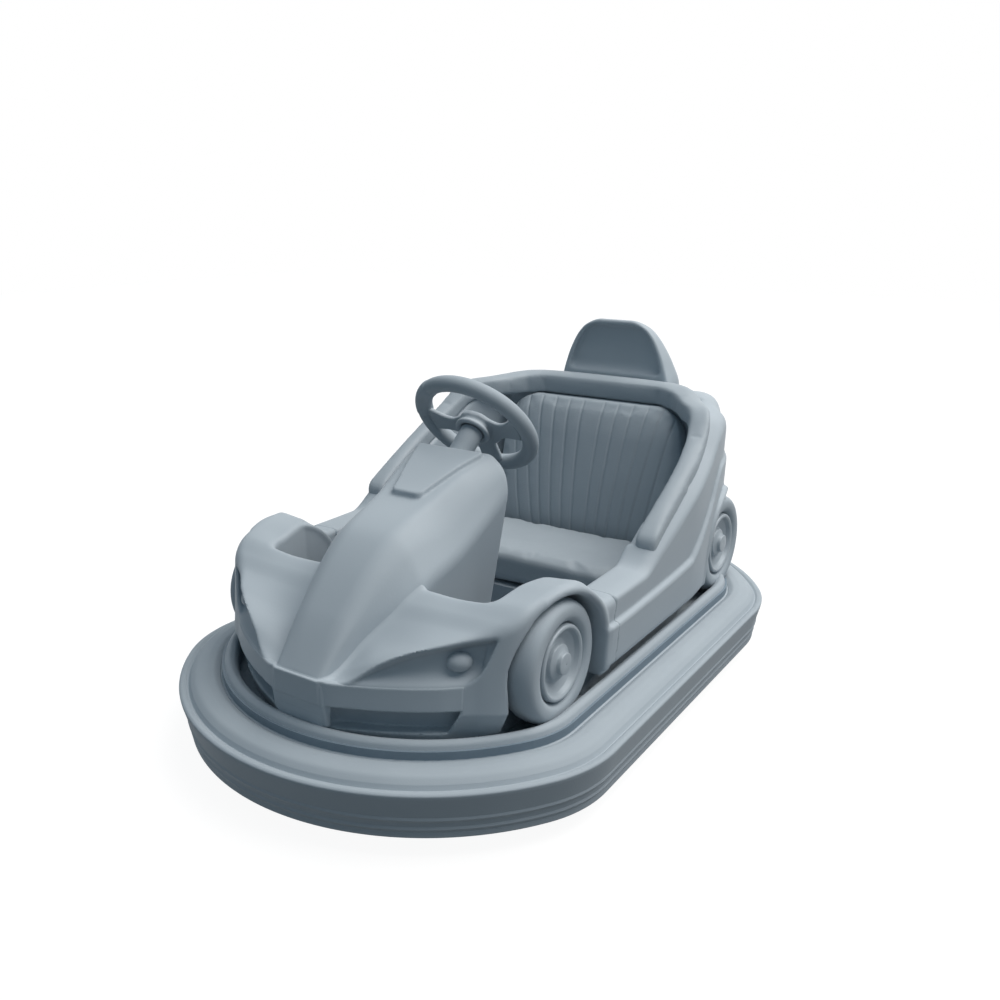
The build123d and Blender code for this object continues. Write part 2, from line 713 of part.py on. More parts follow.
keep(front_body.part, "front_body")

# Rear body: sills, shoulders round the cockpit and the tail
shoulder_line = ((split_y, 396), (-60, 398), (30, 455), (100, 494), (240, 566), (330, 615), (430, 682),
                 (529, 692), (600, 702), (690, 690), (830, 560))
sill_line = ((split_y, 329), (60, 336), (202, 347), (233, 365), (342, 455), (450, 543), (700, 540),
             (830, 520))
panel_line = ((split_y, panel_low_z), (560, panel_low_z), (600, 405), (830, 415))
# Shoulder outside the coaming: y, then (distance in from the body side, z) of its inner and outer edge
shoulder_sections = (
    (split_y - 1, (42, 396), (2, 390)),
    (-60, (42, 398), (2, 386)),
    (30, (32, 455), (2, 424)),
    (100, (32, 494), (0, 455)),
    (240, (38, 566), (0, 530)),
    (330, (46, 615), (4, 578)),
    (430, (74, 682), (14, 625)),
    (529, (97, 692), (42, 640)),
    (600, (127, 702), (80, 560)),
    (690, (157, 690), (87, 470)),
    (830, (222, 560), (102, 400)),
)
tail_y = 775
knee_rear = 275


def rear_plan(half, waist, tail, z, inset=0):
    """Face of the rear body's plan: straight to y = 200, then drawn in and round the tail."""
    points = ((half - inset, split_y), (half - inset, 200))
    with BuildSketch(Plane.XY.offset(z), mode=Mode.PRIVATE) as face:
        with BuildLine():
            Line((-half + inset, split_y), (half - inset, split_y))
            for s in (1, -1):
                shoulder = (s * (half - inset), points[1][1])
                corner = (s * (waist - 0.9 * inset), 600 - 0.4 * inset)
                end = (s * 150, tail - 8 - inset)
                Line((s * (half - inset), split_y), shoulder)
                ThreePointArc(shoulder, (s * (half - 22 - inset), 412), corner)
                ThreePointArc(corner, (s * (waist - 70 - 0.7 * inset), 706 - 0.7 * inset), end)
            Line((-150, tail - 8 - inset), (150, tail - 8 - inset))
        make_face()
    return face.sketch.face()


def side_band(upper, lower):
    """Block across the car between two lines of (y, z) points."""
    with BuildPart(mode=Mode.PRIVATE) as block:
        with BuildSketch(Plane.YZ.offset(-ring_half_width)):
            with BuildLine():
                Polyline(*upper, *reversed(lower), close=True)
            make_face()
        extrude(amount=2 * ring_half_width)
    return block.part


def cockpit_plan(half, rear_half, rear_y, front_y, z, height):
    """Block of the cockpit's hollow, drawn in towards the seat back."""
    with BuildPart(mode=Mode.PRIVATE) as block:
        with BuildSketch(Plane.XY.offset(z)):
            with BuildLine():
                Polyline((-half, front_y), (half, front_y), (half, 200), (rear_half, rear_y - 40),
                         (rear_half - 14, rear_y), (-rear_half + 14, rear_y), (-rear_half, rear_y - 40),
                         (-half, 200), close=True)
            make_face()
        extrude(amount=height)
    return block.part


# Coaming pad: a U-shaped roll let into the inner edge of the body
pad_width = 52
pad_margin = 32
pad_outer = body_top_half - pad_margin
pad_draw_in = 82
pad_rear_outer = pad_outer - pad_draw_in
pad_corner_y = 480
pad_front = -22
pad_back_y = 630
pad_proud = 22
pad_sink = 26


def pad_plan(inset):
    """U-shaped outline of the coaming pad's outer edge, moved inwards by inset, closed across the front."""
    half = pad_outer - inset
    corner = (pad_rear_outer - inset, pad_corner_y)
    end_x = pad_rear_outer - 168
    with BuildLine(mode=Mode.PRIVATE) as outline:
        Line((-half, pad_front), (half, pad_front))
        for s in (1, -1):
            Line((s * half, pad_front), (s * half, 150))
            ThreePointArc((s * half, 150), (s * (half - 12), 325), (s * corner[0], corner[1]))
            ThreePointArc((s * corner[0], corner[1]),
                          (s * (pad_rear_outer - 66 - 0.75 * inset), 572 - 0.6 * inset),
                          (s * end_x, pad_back_y - inset))
        Line((-end_x, pad_back_y - inset), (end_x, pad_back_y - inset))
    return outline.wire()


def pad_block(grow):
    """Rectangular coaming roll, grown by a clearance all round."""
    upper = [(y, z + pad_proud + grow) for y, z in shoulder_line]
    lower = [(y, z - pad_sink - grow) for y, z in shoulder_line]
    with BuildPart(mode=Mode.PRIVATE) as block:
        with BuildSketch(Plane.XY):
            make_face(pad_plan(-grow).edges())
            make_face(pad_plan(pad_width + grow).edges(), mode=Mode.SUBTRACT)
        extrude(amount=900)
        add(side_band(upper, lower), mode=Mode.INTERSECT)
    return block.part


deck_line = ((split_y, deck_z), (830, deck_z))
well_top = wheel_z + arch_r
low_foot = dict(half=core_foot_half, waist=core_foot_half - 50, tail=tail_y - 42, z=deck_z)
low_head = dict(half=core_foot_half + 12, waist=core_foot_half - 12, tail=tail_y - 25, z=560)
with BuildPart() as tail_hollow:
    loft(sections=[rear_plan(inset=2 * wall, **low_foot), rear_plan(inset=2 * wall, **low_head)], ruled=True)
    extrude(rear_plan(low_head["half"], low_head["waist"], low_head["tail"], 560, 2 * wall), amount=200)
    add(side_band([(y, z - 2 * wall) for y, z in shoulder_line], [(y, 0) for y, z in deck_line]),
        mode=Mode.INTERSECT)
    with Locations((0, cockpit_rear + wall + 200, 400)):
        Box(2 * (well_inner_x - 2 * wall), 400, 900, mode=Mode.INTERSECT)
with BuildPart() as low_side:
    loft(sections=[rear_plan(**low_foot), rear_plan(**low_head)], ruled=True)
with BuildPart() as lower_panel:
    loft(sections=[rear_plan(body_top_half - 26, body_top_half - 86, tail_y - 14, panel_low_z),
                   rear_plan(body_top_half + 2, body_top_half - 76, tail_y, 560)], ruled=True)
    add(side_band(sill_line, panel_line), mode=Mode.INTERSECT)
with BuildPart() as rear_body:
    loft(sections=[rear_plan(body_top_half - 26, body_top_half - 86, tail_y - 6, 300),
                   rear_plan(body_top_half, body_top_half - 80, tail_y - 2, 730)], ruled=True)
    add(side_band(shoulder_line, sill_line), mode=Mode.INTERSECT)
    add(low_side.part)
    add(lower_panel.part)
    loft(sections=[across(row[0], [(body_top_half - inwards, z) for inwards, z in row[1:]], deck_z, 0)
                   for row in shoulder_sections], ruled=True, mode=Mode.INTERSECT)
    add(tail_hollow.part, mode=Mode.SUBTRACT)
    add(cockpit_plan(cockpit_half, cockpit_half - cockpit_draw_in, cockpit_rear, split_y - 1,
                     well_top + wall, 500), mode=Mode.SUBTRACT)
    add(cockpit_plan(footwell_outer, footwell_outer + 14, cockpit_rear, split_y - 1, deck_z - 1, 500),
        mode=Mode.SUBTRACT)
    with BuildSketch(Plane.XY.offset(deck_z - 1)):
        with Locations((0, (split_y + knee_rear) / 2)):
            Rectangle(2 * (cockpit_half - 20), knee_rear - split_y + 1)
    extrude(amount=500, mode=Mode.SUBTRACT)
    for side in (1, -1):
        add(well(wheel_rear_y, arch_r, well_inner_x, side), mode=Mode.SUBTRACT)
    add(pad_block(seat_gap), mode=Mode.SUBTRACT)
    add(bead_space.part, mode=Mode.SUBTRACT)
keep(rear_body.part, "rear_body")

# Seat: moulded base over the battery, cushion and back
back_lean = 62
back_foot_y = 438
battery_length = 280
battery_height = 110
with BuildPart() as seat_base:
    with BuildSketch(Plane.XY.offset(pan_top)):
        with Locations((0, (seat_front + seat_rear) / 2)):
            RectangleRounded(2 * seat_half, seat_rear - seat_front, 30)
    extrude(amount=seat_base_top - pan_top)
    with Locations((0, (seat_front + seat_rear) / 2, (pan_top + seat_base_top - 6) / 2)):
        Box(2 * seat_half - 12, seat_rear - seat_front - 12, seat_base_top - 6 - pan_top, mode=Mode.SUBTRACT)
    for side in (-1, 1):
        with Locations((side * rail_x, seat_rear, pan_top + rail_size / 2)):
            Box(rail_size + 2, 2 * (seat_rear - seat_front) + 2, rail_size + 2, mode=Mode.SUBTRACT)
keep(seat_base.part, "seat_base")

with BuildPart() as battery_box:
    with Locations((0, (cross_ys[0] + cross_ys[1]) / 2, pan_top + seat_gap + battery_height / 2)):
        Box(2 * (rail_x - rail_size / 2 - 3), battery_length, battery_height)
keep(battery_box.part, "battery_box")

cushion_front = seat_front - 12
with BuildPart() as seat_cushion:
    with BuildSketch(Plane.XY.offset(seat_base_top + seat_gap)):
        with Locations((0, (cushion_front + back_foot_y - 2) / 2)):
            RectangleRounded(2 * seat_half - 8, back_foot_y - 2 - cushion_front, 60)
    extrude(amount=cushion_top - seat_base_top - seat_gap)
    fillet(seat_cushion.faces().sort_by(Axis.Z)[-1].edges(), 30)
keep(seat_cushion.part, "seat_cushion")

with BuildPart() as seat_back:
    with BuildSketch(Plane.XZ.offset(-cockpit_rear + seat_gap)):
        with BuildLine():
            FilletPolyline((-seat_half + 4, seat_base_top + seat_gap), (-seat_half + 4, seat_back_top),
                           (seat_half - 4, seat_back_top), (seat_half - 4, seat_base_top + seat_gap),
                           radius=70)
            Line((seat_half - 4, seat_base_top + seat_gap), (-seat_half + 4, seat_base_top + seat_gap))
        make_face()
    extrude(amount=cockpit_rear - back_foot_y + 8)
    add(side_band(((back_foot_y, cushion_top), (back_foot_y + back_lean, seat_back_top + 1),
                   (cockpit_rear, seat_back_top + 1)),
                  ((back_foot_y, seat_base_top), (seat_rear - 2, seat_base_top), (cockpit_rear, 420))),
        mode=Mode.INTERSECT)
keep(seat_back.part, "seat_back")

# Headrest fairing on the tail behind the seat, with a dished face
rest_front = 648
rest_rear = 750
rest_top = 888
rest_dish = 22
rest_rim = 16
rest_foot = 600


def rest_outline(inset):
    """Front view of the headrest, moved inwards by inset."""
    with BuildSketch(Plane.XZ.offset(-rest_front), mode=Mode.PRIVATE) as face:
        with BuildLine():
            FilletPolyline((-178 + inset, rest_foot + inset), (-178 + inset, 720),
                           (-136 + inset, 826 - inset / 2), (-72, rest_top - inset), (72, rest_top - inset),
                           (136 - inset, 826 - inset / 2), (178 - inset, 720),
                           (178 - inset, rest_foot + inset), radius=30)
            Line((178 - inset, rest_foot + inset), (-178 + inset, rest_foot + inset))
        make_face()
    return face.sketch


with BuildPart() as headrest:
    with BuildSketch(Plane.XZ.offset(-rest_front)):
        add(rest_outline(0))
    extrude(amount=-(rest_rear - rest_front))
    add(side_band(((rest_front - 1, rest_top + 2), (700, rest_top - 4), (rest_rear, 742)),
                  ((rest_front - 1, rest_foot), (rest_rear, rest_foot))), mode=Mode.INTERSECT)
    with BuildSketch(Plane.XZ.offset(-rest_front)):
        add(rest_outline(rest_rim))
    extrude(amount=-rest_dish, mode=Mode.SUBTRACT)
    add(side_band([(y, z + seat_gap) for y, z in shoulder_line], [(y, 0) for y, z in deck_line]),
        mode=Mode.SUBTRACT)
keep(headrest.part, "headrest")

with BuildPart() as coaming_pad:
    add(pad_block(0))
keep(coaming_pad.part, "coaming_pad")

# Steering: column tube let into the console, shaft, spokes with their hub, and the padded rim
column_start = -26
column_end = -290
shaft_end = -330
with BuildPart() as steering_column:
    with BuildSketch(steering_plane.offset(column_start)):
        Circle(column_r - seat_gap)
        Circle(shaft_r + bore_gap, mode=Mode.SUBTRACT)
    extrude(amount=column_end - column_start)
keep(steering_column.part, "steering_column")
hub_r = 34
hub_back = -22
hub_face = 14
with BuildPart() as steering_shaft:
    with BuildSketch(steering_plane.offset(hub_back - seat_gap)):
        Circle(shaft_r)
    extrude(amount=shaft_end - hub_back)
keep(steering_shaft.part, "steering_shaft")
with BuildPart() as steering_rim:
    with BuildSketch(Plane(origin=steering_plane.origin, x_dir=(1, 0, 0), z_dir=-steering_plane.y_dir)):
        with Locations((steering_rim_r, 0)):
            Circle(steering_tube_r)
    revolve(axis=Axis(steering_plane.origin, steering_plane.z_dir))
keep(steering_rim.part, "steering_rim")
spoke_t = 12
with BuildPart() as steering_spokes:
    with BuildSketch(steering_plane.offset(hub_back)):
        Circle(hub_r)
    extrude(amount=hub_face - hub_back)
    with BuildSketch(steering_plane.offset(-spoke_t / 2)):
        with BuildLine():
            Line((-140, -26), (-96, -26))
            ThreePointArc((-96, -26), (-60, -12), (-34, -30))
            Line((-34, -30), (34, -30))
            ThreePointArc((34, -30), (60, -12), (96, -26))
            Polyline((96, -26), (140, -26), (140, 16), (70, 30), (30, 70), (26, 140), (-26, 140), (-30, 70),
                     (-70, 30), (-140, 16), (-140, -26))
        make_face()
    extrude(amount=spoke_t)
    with BuildSketch(Plane(origin=steering_plane.origin, x_dir=(1, 0, 0), z_dir=-steering_plane.y_dir)):
        with Locations((steering_rim_r, 0)):
            Circle(steering_tube_r + seat_gap)
    revolve(axis=Axis(steering_plane.origin, steering_plane.z_dir), mode=Mode.SUBTRACT)
keep(steering_spokes.part, "steering_spokes")

# Headlamps: domed lenses on the floor of their recesses
lamp_height = 10
lamp_edge = recess_arc(recess_depth, lamp_z)
lamp_spot = lamp_edge.position_at(lamp_share)
lamp_run = lamp_edge.tangent_at(lamp_share)
lamp_out = Vector(-lamp_run.Y, lamp_run.X, 0)
if lamp_out.Y > 0:
    lamp_out = -lamp_out
for side_name, side in (("left", 1), ("right", -1)):
    with BuildPart() as lamp:
        with BuildSketch(Plane(origin=(side * lamp_spot.X, lamp_spot.Y, lamp_z), x_dir=(0, 0, 1),
                               z_dir=(side * lamp_out.X, lamp_out.Y, 0)).offset(seat_gap)):
            Circle(lamp_r)
        extrude(amount=lamp_height)
        fillet(lamp.edges().sort_by(Axis.Y)[0], lamp_height - 2)
    keep(lamp.part, "headlamp_" + side_name)

# Accelerator pedal on a sloping bracket in the right footwell
pedal_x = -240
pedal_y = -430
pedal_width = 70
pedal_height = 120
with BuildPart() as accelerator_pedal:
    with BuildSketch(Plane.YZ.offset(pedal_x - pedal_width / 2)):
        with BuildLine():
            Polyline((pedal_y - 40, pan_top), (pedal_y + 60, pan_top), (pedal_y + 60, pan_top + steel),
                     (pedal_y + 10, pan_top + steel), (pedal_y - 35, pan_top + pedal_height),
                     (pedal_y - 43, pan_top + pedal_height - 3), (pedal_y - 4, pan_top + 3 * steel),
                     (pedal_y - 40, pan_top + steel), close=True)
        make_face()
    extrude(amount=pedal_width)
keep(accelerator_pedal.part, "accelerator_pedal")

# Nose bar: the block on the nose and the lip that runs from it under both lamp recesses
with BuildPart() as nose_bar:
    add(band_outside(bar_plan_z, bar_thickness, 2, bar_end_half, bar_bottom_z, bar_top_z - bar_bottom_z))
    for low, high, back in ((nose_bottom_z, bar_bottom_z, 6), (bar_bottom_z, bar_top_z, 0)):
        with BuildSketch(Plane.XY.offset(low)):
            with BuildLine():
                Polyline((-nose_half, nose_y + back), (nose_half, nose_y + back),
                         (nose_half + bar_bevel, nose_back + 3), (-nose_half - bar_bevel, nose_back + 3),
                         close=True)
            make_face()
        extrude(amount=high - low)
    with Locations((0, nose_back - console_gap + 30, (nose_bottom_z + bar_top_z) / 2)):
        Box(2 * (nose_half + 5), 60, bar_top_z - nose_bottom_z + 20, mode=Mode.SUBTRACT)
    add(ridge_seat.part, mode=Mode.SUBTRACT)
keep(nose_bar.part, "nose_bar")

for piece in made:
    box = piece.bounding_box()
    print(piece.label, piece.is_valid, len(piece.solids()), round(piece.volume / 1000), box)
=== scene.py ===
# %% [markdown]
# # A fairground bumper car
# The car is a low moulded body on a steel deck, with a fat rubber ring round it, four side wheels that
# stay clear of the floor, a steering wheel on a ridge between two footwells, and a padded seat.
# The frame gives the solid pieces at their places. This notebook gives each piece that shows its real
# form and finish: soft moulded edges, rolled arch lips, swollen pads, and surfaces with a little wear.

# %%
import json
import math
import bpy
import numpy as np
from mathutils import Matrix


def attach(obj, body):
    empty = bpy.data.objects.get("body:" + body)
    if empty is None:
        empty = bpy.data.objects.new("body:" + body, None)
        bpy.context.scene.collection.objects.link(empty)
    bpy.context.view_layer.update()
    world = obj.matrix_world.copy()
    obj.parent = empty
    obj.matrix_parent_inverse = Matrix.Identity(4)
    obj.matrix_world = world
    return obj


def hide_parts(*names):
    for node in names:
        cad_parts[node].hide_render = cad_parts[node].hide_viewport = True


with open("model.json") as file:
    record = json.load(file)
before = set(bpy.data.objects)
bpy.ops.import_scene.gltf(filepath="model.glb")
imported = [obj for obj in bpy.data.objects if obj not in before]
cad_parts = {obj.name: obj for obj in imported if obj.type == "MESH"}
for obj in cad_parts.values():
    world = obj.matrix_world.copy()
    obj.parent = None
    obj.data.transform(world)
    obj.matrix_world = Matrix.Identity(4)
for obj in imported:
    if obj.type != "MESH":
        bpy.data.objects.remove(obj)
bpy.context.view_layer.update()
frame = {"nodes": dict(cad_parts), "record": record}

MM = 0.001

# %% [markdown]
# ## Lines, sheets and soft edges
# Moulded shells are easiest to describe by the surfaces that bound them. Each bound is a distance:
# below zero inside, above zero outside. The larger of two distances cuts, the smaller joins, and a
# blend near equality rounds the edge, the way a mould never has a knife edge.
# Lines along the car run through a few measured points without overshoot.


# %%
def curve(keys, t):
    """Line through (t, value) keys: cubic pieces whose slope at a key is the harmonic mean of its neighbours'."""
    at, value = np.array(keys, float).T
    gap = np.diff(at)
    rise = np.diff(value) / gap
    slope = np.zeros_like(value)
    slope[0] = rise[0]
    slope[-1] = rise[-1]
    for i in range(1, len(at) - 1):
        if rise[i - 1] * rise[i] > 0:
            slope[i] = 2 / (1 / rise[i - 1] + 1 / rise[i])
    t = np.clip(t, at[0], at[-1])
    i = np.clip(np.searchsorted(at, t, side="right") - 1, 0, len(gap) - 1)
    u = (t - at[i]) / gap[i]
    return cubic(u, value[i], value[i + 1], slope[i] * gap[i], slope[i + 1] * gap[i])


def cubic(u, start, end, leave, arrive):
    """Cubic from start to end with given end slopes: (1+2u)(1-u)^2 a + u(1-u)^2 p + u^2(3-2u) b + u^2(u-1) q."""
    v = 1 - u
    return (1 + 2 * u) * v * v * start + u * v * v * leave + u * u * (3 - 2 * u) * end - u * u * v * arrive


def sheet(xs, ys, table, x, y):
    """Height over (x, y): a line along y through each column, then a cubic across x that starts level."""
    columns = [curve(list(zip(ys, column)), y) for column in np.array(table, float).T]
    slopes = [0 * columns[0]]
    for j in range(1, len(xs) - 1):
        slopes.append((columns[j + 1] - columns[j - 1]) / (xs[j + 1] - xs[j - 1]))
    slopes.append((columns[-1] - columns[-2]) / (xs[-1] - xs[-2]))
    height = columns[0] + 0 * x
    for j in range(len(xs) - 1):
        gap = xs[j + 1] - xs[j]
        u = np.clip((x - xs[j]) / gap, 0, 1)
        piece = cubic(u, columns[j], columns[j + 1], slopes[j] * gap, slopes[j + 1] * gap)
        height = np.where(x > xs[j], piece, height)
    return height


def soft_max(a, b, k):
    """Larger of two distances, rounded over a width k: h = 1/2 + (a-b)/2k, then b + (a-b)h + k h(1-h)."""
    h = np.clip(0.5 + 0.5 * (a - b) / k, 0, 1)
    return b + (a - b) * h + k * h * (1 - h)


def soft_min(a, b, k):
    """Smaller of two distances, rounded over a width k."""
    return -soft_max(-a, -b, k)


def cut(body, hole, k):
    """Body without the hole, its new edges rounded over a width k."""
    return soft_max(body, -hole, k)


print("a line through three keys:", np.round(curve([(0, 0), (1, 2), (2, 3)], np.linspace(0, 2, 5)), 2))

# %% [markdown]
# ## From numbers to meshes
# Three ways to a mesh cover the whole car. A level surface walks a grid, puts one point in every cell
# that the surface crosses and draws it onto the surface, so a moulded shell comes out as even quads.
# A grid of points makes sweeps and turned pieces. Both are closed and are turned so that faces look out.


# %%
def new_mesh(name, points, quads):
    """A shown object from points in millimetres and quads, smooth, with its faces outwards."""
    a, b, c, d = (points[quads[:, i]] for i in range(4))
    if (np.einsum("ij,ij->i", np.cross(b - a, c - a), a) + np.einsum("ij,ij->i", np.cross(c - a, d - a), a)).sum() < 0:
        quads = quads[:, ::-1]
    mesh = bpy.data.meshes.new(name)
    mesh.vertices.add(len(points))
    mesh.vertices.foreach_set("co", (points * MM).astype(np.float32).ravel())
    mesh.loops.add(4 * len(quads))
    mesh.loops.foreach_set("vertex_index", quads.astype(np.int32).ravel())
    mesh.polygons.add(len(quads))
    mesh.polygons.foreach_set("loop_start", np.arange(0, 4 * len(quads), 4, dtype=np.int32))
    mesh.polygons.foreach_set("loop_total", np.full(len(quads), 4, dtype=np.int32))
    mesh.polygons.foreach_set("use_smooth", np.ones(len(quads), dtype=bool))
    mesh.update(calc_edges=True)
    made = bpy.data.objects.new(name, mesh)
    bpy.context.scene.collection.objects.link(made)
    return made


def level_surface(name, field, low, high, step):
    """Surface where field(x, y, z) is zero, negative inside, in a box: one point per crossed cell."""
    low = np.array(low, float)
    count = np.ceil((np.array(high, float) - low) / step).astype(int) + 1
    axes = [low[k] + step * np.arange(count[k]) for k in range(3)]
    value = field(axes[0][:, None, None], axes[1][None, :, None], axes[2][None, None, :])
    value = np.broadcast_to(value, count)
    inside = value < 0
    cells = count - 1
    total = np.zeros((3, cells.prod()))
    hits = np.zeros(cells.prod())
    faces = []
    for axis in range(3):
        first = np.moveaxis(inside, axis, 0)
        where = np.argwhere(first[:-1] != first[1:])
        edge = np.empty_like(where)
        edge[:, axis] = where[:, 0]
        edge[:, [k for k in range(3) if k != axis]] = where[:, 1:]
        far = edge.copy()
        far[:, axis] += 1
        here, there = value[tuple(edge.T)], value[tuple(far.T)]
        point = edge.astype(float)
        point[:, axis] += here / (here - there)
        u, v = (axis + 1) % 3, (axis + 2) % 3
        corners = []
        whole = np.ones(len(edge), bool)
        for du, dv in ((1, 1), (0, 1), (0, 0), (1, 0)):
            cell = edge.copy()
            cell[:, u] -= du
            cell[:, v] -= dv
            ok = ((cell >= 0) & (cell < cells)).all(axis=1)
            whole &= ok
            flat = (cell[:, 0] * cells[1] + cell[:, 1]) * cells[2] + cell[:, 2]
            corners.append(flat)
            hits += np.bincount(flat[ok], minlength=len(hits))
            for k in range(3):
                total[k] += np.bincount(flat[ok], weights=point[ok, k], minlength=len(hits))
        quad = np.stack(corners, axis=1)[whole]
        out = here[whole] < 0
        faces.append(np.where(out[:, None], quad, quad[:, ::-1]))
    crossed = np.flatnonzero(hits)
    index = np.full(len(hits), -1)
    index[crossed] = np.arange(len(crossed))
    points = low + step * (total[:, crossed] / hits[crossed]).T
    for _ in range(3):
        points = onto_surface(field, points, 0.5 * step)
    made = new_mesh(name, points, index[np.concatenate(faces)])
    print(name, len(crossed), "points", 2 * sum(len(f) for f in faces), "triangles")
    return made


def onto_surface(field, points, reach):
    """Points moved along the slope to where the field is zero: v - F grad F / |grad F|^2, no further than reach."""
    x, y, z = points.T
    here = field(x, y, z)
    slope = np.stack([field(x + 1, y, z) - field(x - 1, y, z), field(x, y + 1, z) - field(x, y - 1, z),
                      field(x, y, z + 1) - field(x, y, z - 1)], axis=1) / 2
    move = -slope * (here / np.maximum((slope ** 2).sum(axis=1), 0.05))[:, None]
    length = np.linalg.norm(move, axis=1, keepdims=True)
    return points + move * np.minimum(1, reach / np.maximum(length, 1e-9))


def grid_mesh(name, x, y, z, wrap_u=True, wrap_v=True):
    """Mesh over a grid of points (u, v) in millimetres, closed in u or v where it wraps."""
    nu, nv = x.shape
    u = np.arange(nu if wrap_u else nu - 1)[:, None]
    v = np.arange(nv if wrap_v else nv - 1)[None, :]
    un, vn = (u + 1) % nu, (v + 1) % nv
    quads = np.stack([u * nv + v, un * nv + v, un * nv + vn, u * nv + vn], axis=-1).reshape(-1, 4)
    return new_mesh(name, np.stack([x, y, z], axis=-1).reshape(-1, 3), quads)


print("mesh makers ready")

# %% [markdown]
# ## Outline of the ring
# Seen from above the bumper ring is two straight sides and two ends, each of a broad arc at the tip
# and a tighter arc at each corner, all tangent. The same outline gives the path that sections are
# swept along and the distance inwards from it, which the foot of the body follows.

# %%
RING_HALF = 575
FRONT = dict(side=-1, start=-429, depth=449, corner=300)
REAR = dict(side=1, start=411, depth=467, corner=330)
for end in (FRONT, REAR):
    end["reach"] = RING_HALF - end["corner"]
    end["tip"] = (end["reach"] ** 2 + end["depth"] ** 2 - end["corner"] ** 2) / (2 * (end["depth"] - end["corner"]))
    end["tip_y"] = end["start"] + end["side"] * (end["depth"] - end["tip"])
    end["lean"] = math.atan2(abs(end["start"] - end["tip_y"]), end["reach"])


def oval_path(per_mm=0.16):
    """Points and outward normals of the ring's outline, counterclockwise from the front tip."""
    points, normals = [], []

    def arc(cx, cy, radius, start, stop):
        angle = np.linspace(start, stop, max(6, int(radius * abs(stop - start) * per_mm)), endpoint=False)
        normals.append(np.stack([np.cos(angle), np.sin(angle)], axis=1))
        points.append(np.array([cx, cy]) + radius * normals[-1])

    arc(0, FRONT["tip_y"], FRONT["tip"], -math.pi / 2, -FRONT["lean"])
    arc(FRONT["reach"], FRONT["start"], FRONT["corner"], -FRONT["lean"], 0)
    side = np.linspace(FRONT["start"], REAR["start"], int((REAR["start"] - FRONT["start"]) * per_mm), endpoint=False)
    points.append(np.stack([np.full_like(side, RING_HALF), side], axis=1))
    normals.append(np.stack([np.ones_like(side), np.zeros_like(side)], axis=1))
    arc(REAR["reach"], REAR["start"], REAR["corner"], 0, REAR["lean"])
    arc(0, REAR["tip_y"], REAR["tip"], REAR["lean"], math.pi / 2)
    half, out = np.concatenate(points), np.concatenate(normals)
    top = np.array([[0, REAR["tip_y"] + REAR["tip"]]])
    flip = np.array([-1, 1])
    return (np.concatenate([half, top, half[:0:-1] * flip]),
            np.concatenate([out, [[0, 1]], out[:0:-1] * flip]))


def oval_depth(x, y):
    """Distance inwards from the outline at (x, y)."""
    x = np.abs(x)
    depth = RING_HALF - x + 0 * y
    for end in (FRONT, REAR):
        ahead = end["side"] * (y - end["tip_y"])
        by_tip = end["tip"] - np.hypot(x, ahead)
        by_corner = end["corner"] - np.hypot(x - end["reach"], y - end["start"])
        at_tip = x * math.tan(end["lean"]) < ahead
        depth = np.where(end["side"] * (y - end["start"]) > 0, np.where(at_tip, by_tip, by_corner),
                         np.where(at_tip & (ahead > end["tip"] - 200), by_tip, depth))
    return depth


def swept(name, section, per_mm=0.16):
    """A section of (distance in from the outline, height) swept round the car."""
    path, out = oval_path(per_mm)
    inwards, height = np.array(section, float).T
    x = path[:, 0:1] - out[:, 0:1] * inwards
    y = path[:, 1:2] - out[:, 1:2] * inwards
    return grid_mesh(name, x, y, np.broadcast_to(height, x.shape))


def rounded(corners, pieces=6):
    """Closed section from corners (a, b, radius), each rounded by an arc drawn as a few short lines."""
    line = []
    n = len(corners)
    for i in range(n):
        before, here, after = (np.array(corners[j % n][:2], float) for j in (i - 1, i, i + 1))
        radius = corners[i][2]
        to_before, to_after = before - here, after - here
        room = 0.49 * min(np.linalg.norm(to_before), np.linalg.norm(to_after))
        to_before /= np.linalg.norm(to_before)
        to_after /= np.linalg.norm(to_after)
        half = 0.5 * math.acos(max(-1, min(1, float(to_before @ to_after))))
        reach = min(room, radius / max(math.tan(half), 0.05))
        for s in np.linspace(0, 1, pieces):
            line.append((1 - s) ** 2 * (here + reach * to_before) + 2 * s * (1 - s) * here
                        + s * s * (here + reach * to_after))
    return line


print("outline", len(oval_path()[0]), "points; depth at the middle of a side", float(oval_depth(575, 0)))

# %% [markdown]
# ## Finishes
# The whole car is one pale blue-grey, and what tells its pieces apart is how each was made: moulded
# shell with a soft sheen and faint orange peel, rubber with a duller skin and fine scuffs, vinyl with
# a pebbled grain, turned steel with rings. Each finish is a few nodes on the piece's own coordinates.


# %%
def linear(hex_colour):
    """Linear colour from an sRGB hex string: ((c + 0.055) / 1.055)^2.4, or c / 12.92 when dark."""
    out = []
    for i in (1, 3, 5):
        c = int(hex_colour[i:i + 2], 16) / 255
        out.append(c / 12.92 if c <= 0.04045 else ((c + 0.055) / 1.055) ** 2.4)
    return (*out, 1)


def add_node(tree, kind, inputs=(), **settings):
    """A node of a kind, its settings set and its inputs given as values or linked from sockets."""
    made = tree.nodes.new(kind)
    for key, value in settings.items():
        setattr(made, key, value)
    for key, value in dict(inputs).items():
        if isinstance(value, bpy.types.NodeSocket):
            tree.links.new(value, made.inputs[key])
        else:
            made.inputs[key].default_value = value
    return made


def new_material(name, gloss=0.3):
    """A material with its node tree, its shader and its object coordinates. Matte skins have little gloss."""
    material = bpy.data.materials.new(name)
    material.use_nodes = True
    tree = material.node_tree
    shader = tree.nodes["Principled BSDF"]
    shader.inputs["Specular IOR Level"].default_value = gloss
    return material, tree, shader, add_node(tree, "ShaderNodeTexCoord").outputs["Object"]


